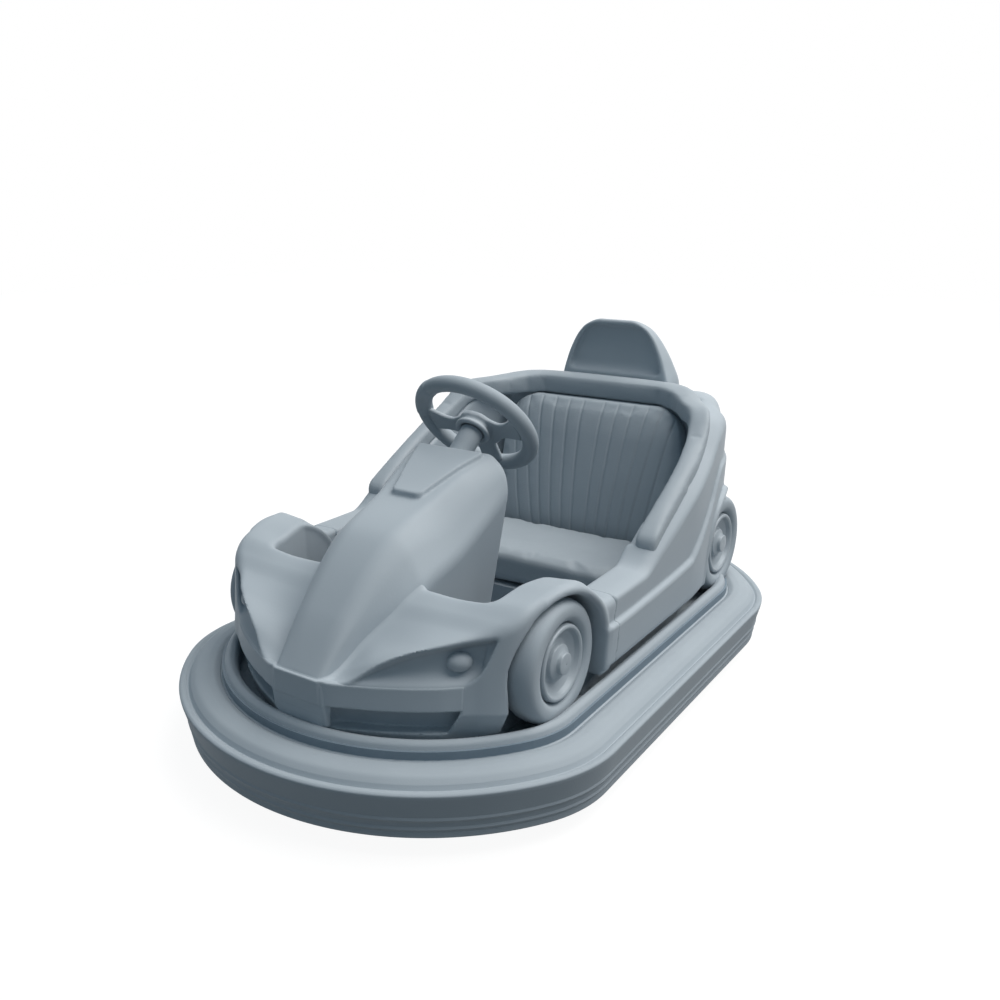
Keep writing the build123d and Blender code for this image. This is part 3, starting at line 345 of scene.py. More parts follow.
def mottled(tree, where, low, high, scale, detail=4.0):
    """Colour that drifts between two tones over a noise of a given scale."""
    noise = add_node(tree, "ShaderNodeTexNoise", {"Vector": where, "Scale": scale, "Detail": detail})
    mix = add_node(tree, "ShaderNodeMix", {"Factor": noise.outputs["Fac"]}, data_type="RGBA")
    mix.inputs[6].default_value = linear(low)
    mix.inputs[7].default_value = linear(high)
    return mix.outputs[2], noise.outputs["Fac"]


def roughness(tree, shader, source, low, high):
    """Roughness that follows a source between two values."""
    spread = add_node(tree, "ShaderNodeMapRange", {"Value": source, "To Min": low, "To Max": high})
    tree.links.new(spread.outputs["Result"], shader.inputs["Roughness"])


def relief(tree, shader, height, depth, strength=1.0):
    """Surface relief of a real depth in metres."""
    bump = add_node(tree, "ShaderNodeBump", {"Height": height, "Distance": depth, "Strength": strength})
    tree.links.new(bump.outputs["Normal"], shader.inputs["Normal"])


def moulded_shell(name, low="#A5AFB7", high="#AFB9C0"):
    """Gel-coated shell out of a mould: even colour, faint orange peel, handling marks in the sheen."""
    material, tree, shader, where = new_material(name)
    tone, drift = mottled(tree, where, low, high, 3.2)
    tree.links.new(tone, shader.inputs["Base Color"])
    marks = add_node(tree, "ShaderNodeTexNoise", {"Vector": where, "Scale": 26.0, "Detail": 6.0, "Roughness": 0.65})
    roughness(tree, shader, marks.outputs["Fac"], 0.46, 0.66)
    peel = add_node(tree, "ShaderNodeTexNoise", {"Vector": where, "Scale": 210.0, "Detail": 2.0})
    relief(tree, shader, peel.outputs["Fac"], 0.00012)
    return material


def ring_rubber(name):
    """Moulded rubber: dull skin, fine scuffs that run round the car at the height where cars meet."""
    material, tree, shader, where = new_material(name)
    tone, drift = mottled(tree, where, "#9EA8B0", "#A9B3BA", 5.0)
    parts = add_node(tree, "ShaderNodeSeparateXYZ", {"Vector": where})
    height = add_node(tree, "ShaderNodeMapRange", {"Value": parts.outputs["Z"], "From Min": 0.05, "From Max": 0.16})
    stretch = add_node(tree, "ShaderNodeMapping", {"Vector": where, "Scale": (3.0, 3.0, 60.0)})
    streak = add_node(tree, "ShaderNodeTexNoise", {"Vector": stretch.outputs["Vector"], "Scale": 9.0, "Detail": 7.0})
    sharp = add_node(tree, "ShaderNodeMapRange",
                     {"Value": streak.outputs["Fac"], "From Min": 0.55, "From Max": 0.8, "To Max": 0.35})
    worn = add_node(tree, "ShaderNodeMath", {0: sharp.outputs["Result"], 1: height.outputs["Result"]},
                    operation="MULTIPLY")
    mix = add_node(tree, "ShaderNodeMix", {"Factor": worn.outputs["Value"]}, data_type="RGBA")
    tree.links.new(tone, mix.inputs[6])
    mix.inputs[7].default_value = linear("#ADB7BE")
    tree.links.new(mix.outputs[2], shader.inputs["Base Color"])
    roughness(tree, shader, streak.outputs["Fac"], 0.55, 0.78)
    fine = add_node(tree, "ShaderNodeTexNoise", {"Vector": where, "Scale": 320.0, "Detail": 3.0})
    relief(tree, shader, fine.outputs["Fac"], 0.0002)
    return material


def pebbled_vinyl(name):
    """Upholstery vinyl: pressed grain of small cells and a soft sheen."""
    material, tree, shader, where = new_material(name)
    cells = add_node(tree, "ShaderNodeTexVoronoi", {"Vector": where, "Scale": 420.0}, feature="SMOOTH_F1")
    wrinkle = add_node(tree, "ShaderNodeTexNoise", {"Vector": where, "Scale": 34.0, "Detail": 5.0})
    tone, drift = mottled(tree, where, "#9AA4AC", "#A6B0B7", 7.0)
    tree.links.new(tone, shader.inputs["Base Color"])
    roughness(tree, shader, wrinkle.outputs["Fac"], 0.42, 0.60)
    both = add_node(tree, "ShaderNodeMath", {0: wrinkle.outputs["Fac"], 1: 1.6, 2: cells.outputs["Distance"]},
                    operation="MULTIPLY_ADD")
    relief(tree, shader, both.outputs["Value"], 0.0004)
    return material


def tyre_rubber(name, low="#A3ADB5", high="#ADB7BE"):
    """Smooth tyre: dull rubber with faint dust."""
    material, tree, shader, where = new_material(name)
    tone, drift = mottled(tree, where, low, high, 9.0)
    tree.links.new(tone, shader.inputs["Base Color"])
    roughness(tree, shader, drift, 0.62, 0.82)
    fine = add_node(tree, "ShaderNodeTexNoise", {"Vector": where, "Scale": 260.0, "Detail": 4.0})
    relief(tree, shader, fine.outputs["Fac"], 0.00025)
    return material


def painted_steel(name, low="#9CA6AE", high="#A8B2B9"):
    """Sprayed steel: slightly wavy paint with fine grit and a few dulled patches."""
    material, tree, shader, where = new_material(name)
    tone, drift = mottled(tree, where, low, high, 12.0)
    tree.links.new(tone, shader.inputs["Base Color"])
    shader.inputs["Metallic"].default_value = 0.15
    roughness(tree, shader, drift, 0.40, 0.62)
    grit = add_node(tree, "ShaderNodeTexNoise", {"Vector": where, "Scale": 150.0, "Detail": 5.0})
    relief(tree, shader, grit.outputs["Fac"], 0.00015)
    return material


def turned_steel(name):
    """Turned bar: bare metal with fine tool rings along the axle, which runs across the car."""
    material, tree, shader, where = new_material(name)
    rings = add_node(tree, "ShaderNodeTexWave", {"Vector": where, "Scale": 260.0, "Distortion": 0.6},
                     bands_direction="X")
    tone, drift = mottled(tree, where, "#8A98A4", "#9DABB6", 40.0)
    tree.links.new(tone, shader.inputs["Base Color"])
    shader.inputs["Metallic"].default_value = 0.85
    roughness(tree, shader, rings.outputs["Fac"], 0.28, 0.44)
    relief(tree, shader, rings.outputs["Fac"], 0.00005)
    return material


finish = {
    "body_shell": moulded_shell("moulded body shell"),
    "deck_shell": moulded_shell("moulded deck rim", "#9FA9B1", "#A9B3BA"),
    "seat_shell": moulded_shell("moulded seat base", "#949EA7", "#9DA7AF"),
    "bumper_rubber": ring_rubber("bumper ring rubber"),
    "seat_vinyl": pebbled_vinyl("padded seat vinyl"),
    "side_tyre": tyre_rubber("smooth side tyre"),
    "running_tyre": tyre_rubber("solid running tyre", "#5C6B78", "#6A7986"),
    "side_rim": painted_steel("pressed wheel in paint"),
    "chassis_steel": painted_steel("painted chassis steel", "#74838F", "#82919D"),
    "motor_paint": painted_steel("painted motor housing", "#5F6D79", "#6C7A86"),
    "bare_steel": turned_steel("turned steel"),
    "steering_grip": tyre_rubber("soft steering grip", "#9CA6AE", "#A7B1B8"),
    "steering_plastic": moulded_shell("moulded steering spokes", "#9FA9B1", "#A9B3BA"),
    "lamp_lens": moulded_shell("opaque lamp lens", "#A9B3BA", "#B3BCC3"),
    "battery_case": moulded_shell("battery case", "#56646F", "#626F7B"),
}
for node in frame["record"]["subparts"]:
    for held in frame["nodes"][node["node"]].material_slots:
        held.material = finish[node["material_slot"]]
print(len(finish), "finishes on", len(frame["nodes"]), "pieces")


def placed(piece, slot, *nodes, body="chassis"):
    """Gives a made piece its finish, its body and the solid nodes that it stands for."""
    piece.data.materials.append(finish[slot])
    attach(piece, body)
    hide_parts(*nodes)
    return piece


# %% [markdown]
# ## Bumper ring and deck rim
# The ring is a dark leaning wall with two shallow ribs, a rounded lip, a narrow groove and a broad
# bead. Inside it the deck rim rises in a bead of its own and slopes down under the body.
# Both are a section swept round the same outline, so they keep their gap everywhere.

# %%
ring_section = rounded([
    (95, 50, 1), (95, 169.5, 2.5), (82, 178, 16), (64, 178.4, 30), (40, 174, 26), (27.5, 163, 8),
    (21.5, 153.5, 2.5), (19, 153.5, 2), (14, 157.5, 5), (6, 158.5, 6), (0, 155, 5), (1.5, 146, 4), (13, 100, 2),
    (11.4, 94, 3), (15.6, 87, 2), (17.4, 77, 2), (15.8, 71, 3), (19.4, 64, 2), (19, 50, 3)], 5)
ring = placed(swept("bumper_ring_skin", ring_section), "bumper_rubber", "bumper_ring")
deck_section = rounded([
    (95.4, 150, 1), (95.4, 169.5, 0.6), (99, 169.5, 8), (108.5, 200, 12), (118, 206.5, 9), (131, 201, 10),
    (137, 186, 6), (138.4, 151, 5), (240, 150, 2), (240, 146, 1), (133, 146, 2), (132, 183, 5), (127, 196, 6),
    (118, 201.5, 5), (112.5, 197, 4), (105, 168, 3), (101, 150, 2)], 5)
rim = placed(swept("deck_rim_skin", deck_section, 0.12), "deck_shell", "deck_rim")
print("ring", len(ring.data.polygons), "faces, deck rim", len(rim.data.polygons), "faces")

# %% [markdown]
# ## Side wheels
# Each side wheel is a fat smooth tyre on a pressed rim with a bright lip, a dished face and a flat
# round cap. Both are turned round the axle, so a section is all they need.

# %%
WHEELS = {"front": (-405, 303), "rear": (495, 303)}
TYRE_MID = 398


def turned(name, section, axle_y, axle_z, middle, side, steps=96):
    """A closed section of (distance out from the middle, radius) turned round an axle along X."""
    out, radius = np.array(section, float).T
    angle = np.linspace(0, 2 * math.pi, steps, endpoint=False)[:, None]
    x = side * (middle + out) + 0 * angle
    return grid_mesh(name, x, axle_y + radius * np.cos(angle), axle_z + radius * np.sin(angle))


theta = np.linspace(0, 2 * math.pi, 40, endpoint=False)
fat = np.stack([39.5 * np.sign(np.cos(theta)) * np.abs(np.cos(theta)) ** 0.78,
                111 + 26 * np.sign(np.sin(theta)) * np.abs(np.sin(theta)) ** 0.72], axis=1)
rim_section = rounded([
    (-31, 85.4, 1), (26, 85.4, 2), (33, 84, 2), (36.5, 82, 2), (37, 77, 3), (34, 73, 3), (24, 68, 4),
    (15, 50, 8), (17, 42, 4), (27, 39, 4), (30, 31, 4), (33, 25.5, 2), (42.5, 24, 3), (43, 1, 0.3),
    (30, 1, 0.3), (30, 10.4, 0.5), (-26, 10.4, 0.5), (-26, 24, 2), (4, 30, 3), (8, 68, 4), (-30, 76, 3)], 4)
for end_name, (axle_y, axle_z) in WHEELS.items():
    for side_name, side in (("left", 1), ("right", -1)):
        tag = end_name + "_" + side_name
        placed(turned("side_tyre_" + tag, fat, axle_y, axle_z, TYRE_MID, side), "side_tyre", "tyre_" + tag,
               body="wheel_" + tag)
        placed(turned("pressed_rim_" + tag, rim_section, axle_y, axle_z, TYRE_MID, side, 64), "side_rim",
               "rim_" + tag, body="wheel_" + tag)
print("four side wheels")

# %% [markdown]
# ## Ridge and dash
# The ridge climbs from the nose block to the dash between the footwells. Its cross-section is a flat
# top, a broad soft edge, a flank that leans out and, by the footwells, a waist that leans in again.
# A raised pad sits on its top under the steering column.

# %%
ridge_rows = [(-747, 40, 306, 62, 304, 66, 292, 65, 250), (-657, 50, 414, 75, 399, 86, 345, 85, 300),
              (-528, 58, 530, 90, 511, 138, 428, 136, 380), (-494, 62, 549, 94, 530, 146, 446, 143, 395),
              (-376, 75, 590, 105, 562, 150, 480, 142, 400), (-270, 90, 634, 121, 606, 153, 530, 132, 400),
              (-172, 105, 665, 143, 634, 155, 586, 122, 400)]


def ridge_line(column, y):
    """One measured line of the ridge along y."""
    return curve([(row[0], row[column]) for row in ridge_rows], y)


def slanted(x, z, a, b):
    """Distance from a line in the section from a to b, positive on its outer side."""
    run, rise = b[0] - a[0], b[1] - a[1]
    return ((z - a[1]) * run - (x - a[0]) * rise) / np.hypot(run, rise)


def ridge_flanks(x, y, z):
    """Ridge without its ends: top, edge, flank and waist, rounded into each other."""
    x = np.abs(x)
    flat, edge, wide, waist = [(ridge_line(i, y), ridge_line(i + 1, y)) for i in (1, 3, 5, 7)]
    shape = soft_max(z - flat[1], slanted(x, z, flat, edge), 8)
    shape = soft_max(shape, slanted(x, z, edge, wide), 13)
    return soft_max(shape, slanted(x, z, wide, waist), 12)


def ridge(x, y, z):
    """Ridge and dash with the raised pad, from the nose to the dash face, hollow behind the footwell's front."""
    skin = ridge_flanks(x, y, z)
    shape = soft_max(soft_max(skin, y + 172, 20), -746.5 - y, 4)
    width = curve([(-362, 44), (-200, 95)], y)
    pad = soft_max(soft_max(np.abs(x) - width, y + 200, 9), -378 - y, 18)
    shape = soft_min(shape, soft_max(skin - 13, pad, 5), 5)
    shape = soft_max(shape, 66.5 - z, 2)
    hollow = soft_max(soft_max(skin + 9, y + 182, 4), -492 - y, 4)
    return cut(shape, hollow, 2)


console = placed(level_surface("ridge_and_dash", ridge, (-168, -752, 60), (168, -162, 690), 5), "body_shell",
                 "centre_console")

# %% [markdown]
# ## Front body
# One moulding holds the hood, both fenders, the lamp recesses, the seat of the bar and the arches.
# Its top is a sheet of measured heights, its plan is a line round the nose and a line along each
# side, and the openings are cut out with soft edges. It flows up into the ridge in a hollow curve.

# %%
shoulder_z = ((-215, 396), (-60, 398), (30, 455), (100, 494), (240, 566), (330, 615), (430, 682), (529, 692),
              (600, 702), (690, 690), (830, 560))
shoulder_in = ((-216, 440), (-60, 440), (30, 438), (100, 434), (240, 429), (330, 421), (430, 398), (529, 375),
               (600, 350), (690, 325), (830, 260))
crease_x = ((-216, 466), (-60, 464), (30, 463), (100, 465), (240, 467), (330, 461), (430, 454), (529, 430),
            (600, 402), (690, 395), (830, 380))
crease_z = ((-216, 388), (-60, 385), (30, 424), (100, 455), (240, 530), (330, 578), (430, 625), (529, 640),
            (600, 560), (690, 470), (830, 400))


def shoulder_top(x, y, z):
    """Distance above the sill and the shoulder: level inside, then down to the long crease."""
    inner = (curve(shoulder_in, y), curve(shoulder_z, y))
    outer = (curve(crease_x, y), curve(crease_z, y))
    return soft_max(z - inner[1], slanted(np.abs(x), z, inner, outer), curve(((380, 9), (560, 60)), y))


hood_x = (0, 80, 150, 240, 320, 390, 440, 480)
hood_y = (-757, -724, -690, -630, -580, -540, -494, -455, -400, -357, -336, -289, -215)
hood_z = (
    (300, 301, 303, 315, 332, 345, 350, 350), (302, 303, 320, 340, 352, 362, 366, 366),
    (315, 316, 345, 373, 380, 386, 388, 386), (355, 357, 367, 388, 396, 400, 400, 396),
    (390, 392, 396, 404, 408, 410, 408, 402), (418, 420, 424, 426, 430, 432, 430, 424),
    (445, 445, 443, 442, 450, 456, 452, 444), (445, 445, 445, 446, 453, 464, 466, 456),
    (445, 445, 450, 455, 460, 470, 474, 464), (445, 445, 450, 455, 460, 468, 472, 462),
    (440, 440, 445, 450, 455, 460, 464, 455), (420, 420, 422, 424, 425, 428, 425, 418),
    (395, 395, 395, 396, 396, 397, 396, 393))
nose_line = ((0, -748), (62, -747), (133, -723), (213, -684), (282, -640), (322, -606), (345, -590), (380, -573),
             (440, -560))
nose_lean = ((0, 0), (200, 0.03), (340, 0.10), (390, 0.147), (450, 0.147))
side_line = ((-600, 392), (-540, 403), (-526, 405.5), (-400, 428), (-260, 454), (-215, 459))
brow_line = ((131, 309), (170, 345), (205, 365), (240, 379), (305, 392), (370, 402), (420, 406))


def front_plan(x, y, z):
    """Distance from the front body's plan: nose line, side line and the rounded corner between them."""
    x = np.abs(x)
    steep = (curve(nose_line, x + 2) - curve(nose_line, x - 2)) / 4
    nose = (curve(nose_line, x) + curve(nose_lean, x) * (z - 305) - y) / np.sqrt(1 + steep ** 2)
    side = 0.985 * (x - curve(side_line, y) - 0.03 * (z - 305))
    return soft_max(nose, side, 44)


def arch_radius(y, z, axle_y, axle_z):
    """Distance from the axle over it, and from the axle's upright line under it."""
    return np.where(z > axle_z, np.hypot(y - axle_y, z - axle_z), np.abs(y - axle_y) + 0 * z)


ledge_z = ((-300, 329), (-216, 329), (60, 336), (202, 347), (233, 365), (342, 455), (450, 543), (700, 540),
           (830, 520))
pad_out = ((-24, 451), (150, 450), (250, 446), (324, 437), (386, 424), (415, 412), (484, 362), (530, 330),
           (563, 296), (600, 240), (628, 180))
pad_tail = ((0, 629), (180, 628), (240, 612), (296, 572), (330, 536), (362, 484), (412, 410), (440, 340), (520, 120))


def coaming_plan(x, y):
    """Distance from the outer edge of the coaming pad, seen from above."""
    across = np.abs(x)
    side = across - curve(pad_out, y)
    bend = (curve(pad_out, y + 2) - curve(pad_out, y - 2)) / 4
    tail = y - curve(pad_tail, across)
    sweep = (curve(pad_tail, across + 2) - curve(pad_tail, across - 2)) / 4
    by_tail = np.clip((y - 430) / 130, 0, 1)
    by_tail = by_tail * by_tail * (3 - 2 * by_tail)
    return (1 - by_tail) * side / np.sqrt(1 + bend ** 2) + by_tail * tail / np.sqrt(1 + sweep ** 2)


waist_in = ((-300, 2.5), (-216, 0), (200, 0), (412, 20), (520, 46), (600, 80), (660, 112), (706, 150), (745, 215),
            (767, 330))


def side_panel(x, y, z):
    """Distance from the side of the car behind the front wheel: upper panel, ledge and prouder lower panel."""
    across = np.abs(x) + curve(waist_in, y)
    ledge = curve(ledge_z, y)
    upper = across - 453 - 0.061 * (z - 300)
    lower = across - 461 - 0.078 * (z - 240)
    tuck = 0.8 * (233 + 0.7 * np.clip(across - 462, -60, 20) - z)
    lower = soft_max(soft_max(lower, 0.8 * (z - ledge) + 0.35 * lower, 4), tuck, 9)
    return soft_min(upper, lower, 2)


def rolled_lip(x, y, z, axle_y, axle_z, side_at, size):
    """A rolled edge of a given radius along a wheel arch, fading where its radius does."""
    wheel = arch_radius(y, z, axle_y, axle_z)
    return np.hypot(wheel - 147.5 - size, np.abs(x) - side_at + 5) - size


def front_shell(x, y, z):
    """Front body."""
    across = np.abs(x)
    plan = front_plan(x, y, z) + 0.32 * np.maximum(243 - z, 0)
    back_here = np.clip((y + 290) / 50, 0, 1)
    plan = plan + (side_panel(x, y, z) - plan) * back_here
    top = 0.92 * (z - sheet(hood_x, hood_y, hood_z, across, y))
    top = top + (shoulder_top(x, y, z) - top) * back_here
    shape = soft_max(plan, top, curve(((-650, 7), (-560, 20)), y))
    axle_y, axle_z = WHEELS["front"]
    wheel = arch_radius(y, z, axle_y, axle_z)
    side_at = curve(side_line, y) + 0.03 * (z - 305)
    size = 9
    lip = rolled_lip(x, y, z, axle_y, axle_z, side_at, size) + 0.3 * np.maximum(-460 - y, 0)
    lip = soft_max(lip, 226 - z, 5)
    shape = soft_min(shape, lip, 7)
    shape = cut(shape, soft_max(wheel - 147.5, 345 - across, 10), 5)
    depth = curve(((300, -5), (306, 0), (311, 7), (321, 20), (329, 26), (352, 31), (402, 35)), z)
    roof = 0.85 * (z - curve(brow_line, across) - 0.6 * np.clip(plan, -45, 0))
    recess = soft_max(soft_max(-plan - depth, roof, 7), 129 - across, 6)
    recess = soft_max(recess, across - curve(((308, 322), (330, 344), (402, 371)), z), 8)
    recess = soft_max(soft_max(recess, 305 - z, 3), soft_min(164 - wheel, across - 337, 8), 5)
    shape = cut(shape, recess, 7.5)
    grille = soft_max(soft_max(-plan - 31, np.abs(z - 224) - 26.5, 4), 0.85 * (across - 317 + 0.55 * (251 - z)), 6)
    shape = cut(shape, grille, 5)
    well_side = ((-500, 316), (-455, 318), (-427, 322), (-390, 331), (-357, 343), (-336, 368), (-215, 372))
    inner = soft_max(across - curve(well_side, y), -497 - y, 30)
    inner = soft_max(inner, soft_min(163 - wheel, across - 337, 6), 6)
    shape = cut(shape, inner, 14)
    hollow = soft_max(soft_max(plan + 52, top + 24, 6), soft_max(across - 322, y + 505, 6), 6)
    shape = cut(shape, hollow, 3)
    foot = soft_max(oval_depth(x, y) - 139, z - 207, 3)
    shape = cut(shape, foot, 4)
    shape = soft_min(shape, soft_max(soft_max(ridge_flanks(x, y, z) + 1.5, y + 500, 6), -745.5 - y, 3), 16)
    side_foot = soft_max(soft_max(402 - across, z - 212, 4), -300 - y, 4)
    shape = cut(shape, side_foot, 5)
    return soft_max(soft_max(shape + 0.4, y + 211, 0.5), 150.5 - z, 2)


front = placed(level_surface("front_body_moulding", front_shell, (-478, -762, 144), (478, -208, 482), 4.6),
               "body_shell", "front_body")
front.data.set_sharp_from_angle(angle=math.radians(60))

# %% [markdown]
# ## Bar across the nose
# The nose block has a light bevel down each side and stands a little proud. From it a flat strip
# runs under each lamp recess. They are one moulding let into the front body.


# %%
def bar(x, y, z):
    """Nose block and the two strips."""
    across = np.abs(x)
    plan = front_plan(x, y, z)
    strip = soft_max(soft_max(plan - 0.4, -plan - 15.5, 2), np.abs(z - 278) - 26.6, 3)
    strip = soft_max(strip, across - 321, 2)
    face = -753 + 0.03 * (305 - z)
    block = soft_max(face - y, slanted(across, -y, (60.5, -face), (72.5, -face - 11)), 3)
    block = soft_max(block, np.abs(z - 278) - 27.3, 3)
    under = -749.5 + 0.12 * (251 - z)
    lower = soft_max(under - y, slanted(across, -y, (72, -under), (79, -under - 13)), 4)
    lower = soft_max(lower, np.abs(z - 226) - 26, 3)
    block = soft_max(soft_min(block, lower, 2), y + 733, 2)
    return soft_min(strip, block, 4)


nose = placed(level_surface("nose_bar_moulding", bar, (-328, -761, 196), (328, -578, 308), 3.2), "body_shell",
              "nose_bar")

# %% [markdown]
# ## Headlamps
# Each lamp is an egg-shaped dome that sits on the floor of its recess and looks out and forwards.

# %%
polar, turn = np.meshgrid(np.linspace(0.02, math.pi - 0.02, 28), np.linspace(0, 2 * math.pi, 48, endpoint=False))
for side_name, side in (("left", 1), ("right", -1)):
    run = np.array([0.70, -0.71])
    out = 20 * np.cos(polar)
    over = 27 * np.sin(polar) * np.cos(turn)
    up = 20.5 * np.sin(polar) * np.sin(turn)
    lamp = grid_mesh("lamp_" + side_name, side * (299 + run[0] * out - run[1] * over),
                     -589 + run[1] * out + run[0] * over, 347 + up, True, False)
    placed(lamp, "lamp_lens", "headlamp_" + side_name)
print("two lamps")

# %% [markdown]
# ## Rear body
# The rear moulding carries the sills, the soft shoulder round the cockpit, the rear arches and the
# tail. Under the shoulder runs a long crease, then a narrow ledge that starts low by the front arch
# and climbs to the tail, and the panel under the ledge steps out a little.

# %%
panel_z = ((-216, 233), (560, 233), (600, 405), (830, 415))
tail_in = ((0, 8), (150, 9), (230, 20), (300, 45), (332, 66), (370, 110), (402, 172), (440, 300), (520, 620))


def rear_plan(x, y, half, tail):
    """Distance from a plan with a given half width amidships and a given tail."""
    x = np.abs(x)
    side = x - half + curve(waist_in, y)
    bend = (curve(waist_in, y + 2) - curve(waist_in, y - 2)) / 4
    end = y - tail + curve(tail_in, x)
    sweep = (curve(tail_in, x + 2) - curve(tail_in, x - 2)) / 4
    return soft_max(side / np.sqrt(1 + bend ** 2), end / np.sqrt(1 + sweep ** 2), 40)


def rear_shell(x, y, z):
    """Rear body."""
    across = np.abs(x)
    top = shoulder_top(x, y, z)
    upper = rear_plan(x, y, 453 + 0.061 * (z - 300), 765 + 0.01 * (z - 300))
    lower = rear_plan(x, y, 461 + 0.078 * (z - 240), 765 + 0.040 * (z - 240))
    core = rear_plan(x, y, 400 + 0.03 * (z - 150), 733 + 0.041 * (z - 150))
    ledge = curve(ledge_z, y)
    upper = soft_max(upper, ledge - 6 - z, 3)
    tuck = 0.8 * (curve(panel_z, y) + 0.7 * np.clip(across + curve(waist_in, y) - 462, -60, 20) - z)
    soft = curve(((400, 3), (560, 9)), y)
    lower = soft_max(soft_max(lower, 0.8 * (z - ledge) + 0.35 * lower, soft + 1), tuck, 9)
    shape = soft_min(soft_min(upper, lower, soft), core, 3)
    shape = soft_max(shape, top, curve(((400, 8), (560, 26)), y))
    axle_y, axle_z = WHEELS["rear"]
    wheel = arch_radius(y, z, axle_y, axle_z)
    side_at = 458 + 0.088 * (z - 240) - curve(waist_in, y)
    lip = soft_max(rolled_lip(x, y, z, axle_y, axle_z, side_at, 8), 234 - z, 6)
    shape = soft_min(shape, lip, 7)
    shape = cut(shape, soft_max(wheel - 147.5, 345 - across, 10), 5)
    floor_z = curve(shoulder_z, y) - curve(((300, 24), (520, 35)), y)
    seat = soft_max(soft_max(coaming_plan(x, y) + 30, floor_z - z, 3), 8 - y, 8)
    shape = cut(shape, seat, 4)
    cockpit = soft_max(across - curve(((-216, 388), (200, 388), (520, 326), (560, 312)), y), y - 560, 30)
    cockpit = soft_max(cockpit, 465 - z, 6)
    knee = soft_max(across - 368, y - 275, 16) + 0 * z
    foot = soft_max(across - 322, y - 560, 16) + 0 * z
    shape = cut(shape, soft_min(soft_min(cockpit, knee, 8), foot, 4), 16)
    ground = soft_max(oval_depth(x, y) - 139, z - 207, 3)
    shape = cut(shape, ground, 4)
    hollow = soft_max(soft_max(core + 18, top + 18, 8), soft_max(across - 329, 570 - y, 6), 6)
    shape = cut(shape, hollow, 3)
    return soft_max(soft_max(shape, -215.5 - y, 0.5), 150.5 - z, 2)


rear = placed(level_surface("rear_body_moulding", rear_shell, (-492, -222, 144), (492, 778, 712), 6.2),
              "body_shell", "rear_body")
rear.data.set_sharp_from_angle(angle=math.radians(60))

# %% [markdown]
# ## Headrest
# A fairing on the tail with a dished face towards the driver and a rim round it.


# %%
def rest(x, y, z):
    """Headrest fairing."""
    across = np.abs(x)
    width = curve(((600, 180), (700, 179), (760, 165), (826, 137), (860, 112), (890, 72)), z)
    front_face = soft_max(across - width, z - 888, 26)
    shape = soft_max(soft_max(front_face, 648 - y, 10), slanted(y, z, (695, 890), (752, 742)), 40)
    dish = soft_max(soft_max(front_face + 17, y - 668, 10), 730 - z, 30)
    shape = cut(shape, dish, 8)
    return soft_max(soft_max(shape, curve(shoulder_z, y) - 3 - z, 2), y - 752, 10)


headrest = placed(level_surface("headrest_fairing", rest, (-188, 640, 640), (188, 758, 894), 4), "body_shell",
                  "headrest")

# %% [markdown]
# ## Steering wheel
# A thick soft rim with a short grip section between two joint rings, a broad sheet of spokes with a
# wavy upper edge, and a round collar behind them on the column. All lean 39 degrees with the column.

# %%
HUB = np.array([0.0, -91.0, 704.0])
LEAN = math.radians(39)
RIGHT = np.array([1.0, 0.0, 0.0])
FACE = np.array([0.0, math.cos(LEAN), math.sin(LEAN)])
UP = np.array([0.0, -math.sin(LEAN), math.cos(LEAN)])


def to_wheel(x, y, z):
    """Coordinates in the steering wheel's plane: right, up and towards the driver."""
    y, z = y - HUB[1], z - HUB[2]
    return x, y * UP[1] + z * UP[2], y * FACE[1] + z * FACE[2]


def wheel_rim(x, y, z):
    """Rim: a tube of radius 20 round a circle of 146, a little thicker between two joint rings at the upper side."""
    a, b, c = to_wheel(x, y, z)
    round_by = np.degrees(np.arctan2(b, -a))
    grip = np.abs(round_by - 34) - 22
    tube = np.hypot(np.hypot(a, b) - 146, c) - 20
    swell = 1.6 / (1 + np.exp(np.clip(grip / 0.5, -30, 30)))
    return tube - swell + 1.9 * np.exp(-((grip - 0.6) / 0.9) ** 2)


def wheel_spokes(x, y, z):
    """Sheet of spokes: a T to both sides and downwards with a wavy upper edge, a boss and a collar behind it."""
    a, b, c = to_wheel(x, y, z)
    side = np.abs(a)
    lower = curve(((0, -62), (40, -58), (66, -38), (92, -31), (134, -28)), side)
    upper = curve(((0, 43), (22, 38), (44, 20), (66, 12), (86, 18), (112, 40), (134, 58)), side)
    wide = soft_max(soft_max(b - upper, lower - b, 8), side - 136, 4)
    stem = soft_max(soft_max(side - 27 + 0.03 * (b + 60), -136 - b, 4), b + 20, 4)
    plate = soft_max(soft_min(wide, stem, 20), np.abs(c + 0.0006 * (a * a + b * b) - 3) - 5.5, 4)
    boss = soft_max(np.hypot(a, b) - 40, np.abs(c + 10) - 14, 5)
    collar = np.hypot(np.hypot(a, b) - 40, c + 22) - 5.5
    shape = soft_min(soft_min(plate, boss, 8), collar, 4)
    return cut(cut(shape, np.hypot(np.hypot(a, b) - 146, c) - 20.4, 1), np.hypot(a, b) - 30.4 + np.maximum(c + 9, 0) * 9, 1)


box_low, box_high = (-172, -212, 562), (172, 30, 846)
placed(level_surface("steering_rim_grip", wheel_rim, box_low, box_high, 3.6), "steering_grip", "steering_rim",
       body="steering")
placed(level_surface("steering_spoke_plate", wheel_spokes, (-142, -190, 590), (142, 10, 820), 3),
       "steering_plastic", "steering_spokes", body="steering")

# %% [markdown]
# ## Padded pieces
# Cushion, back and coaming are foam under vinyl. Each starts as a plain block a little smaller than
# its solid, and pressure swells it like a filled cover, so its faces crown and its edges pull in.


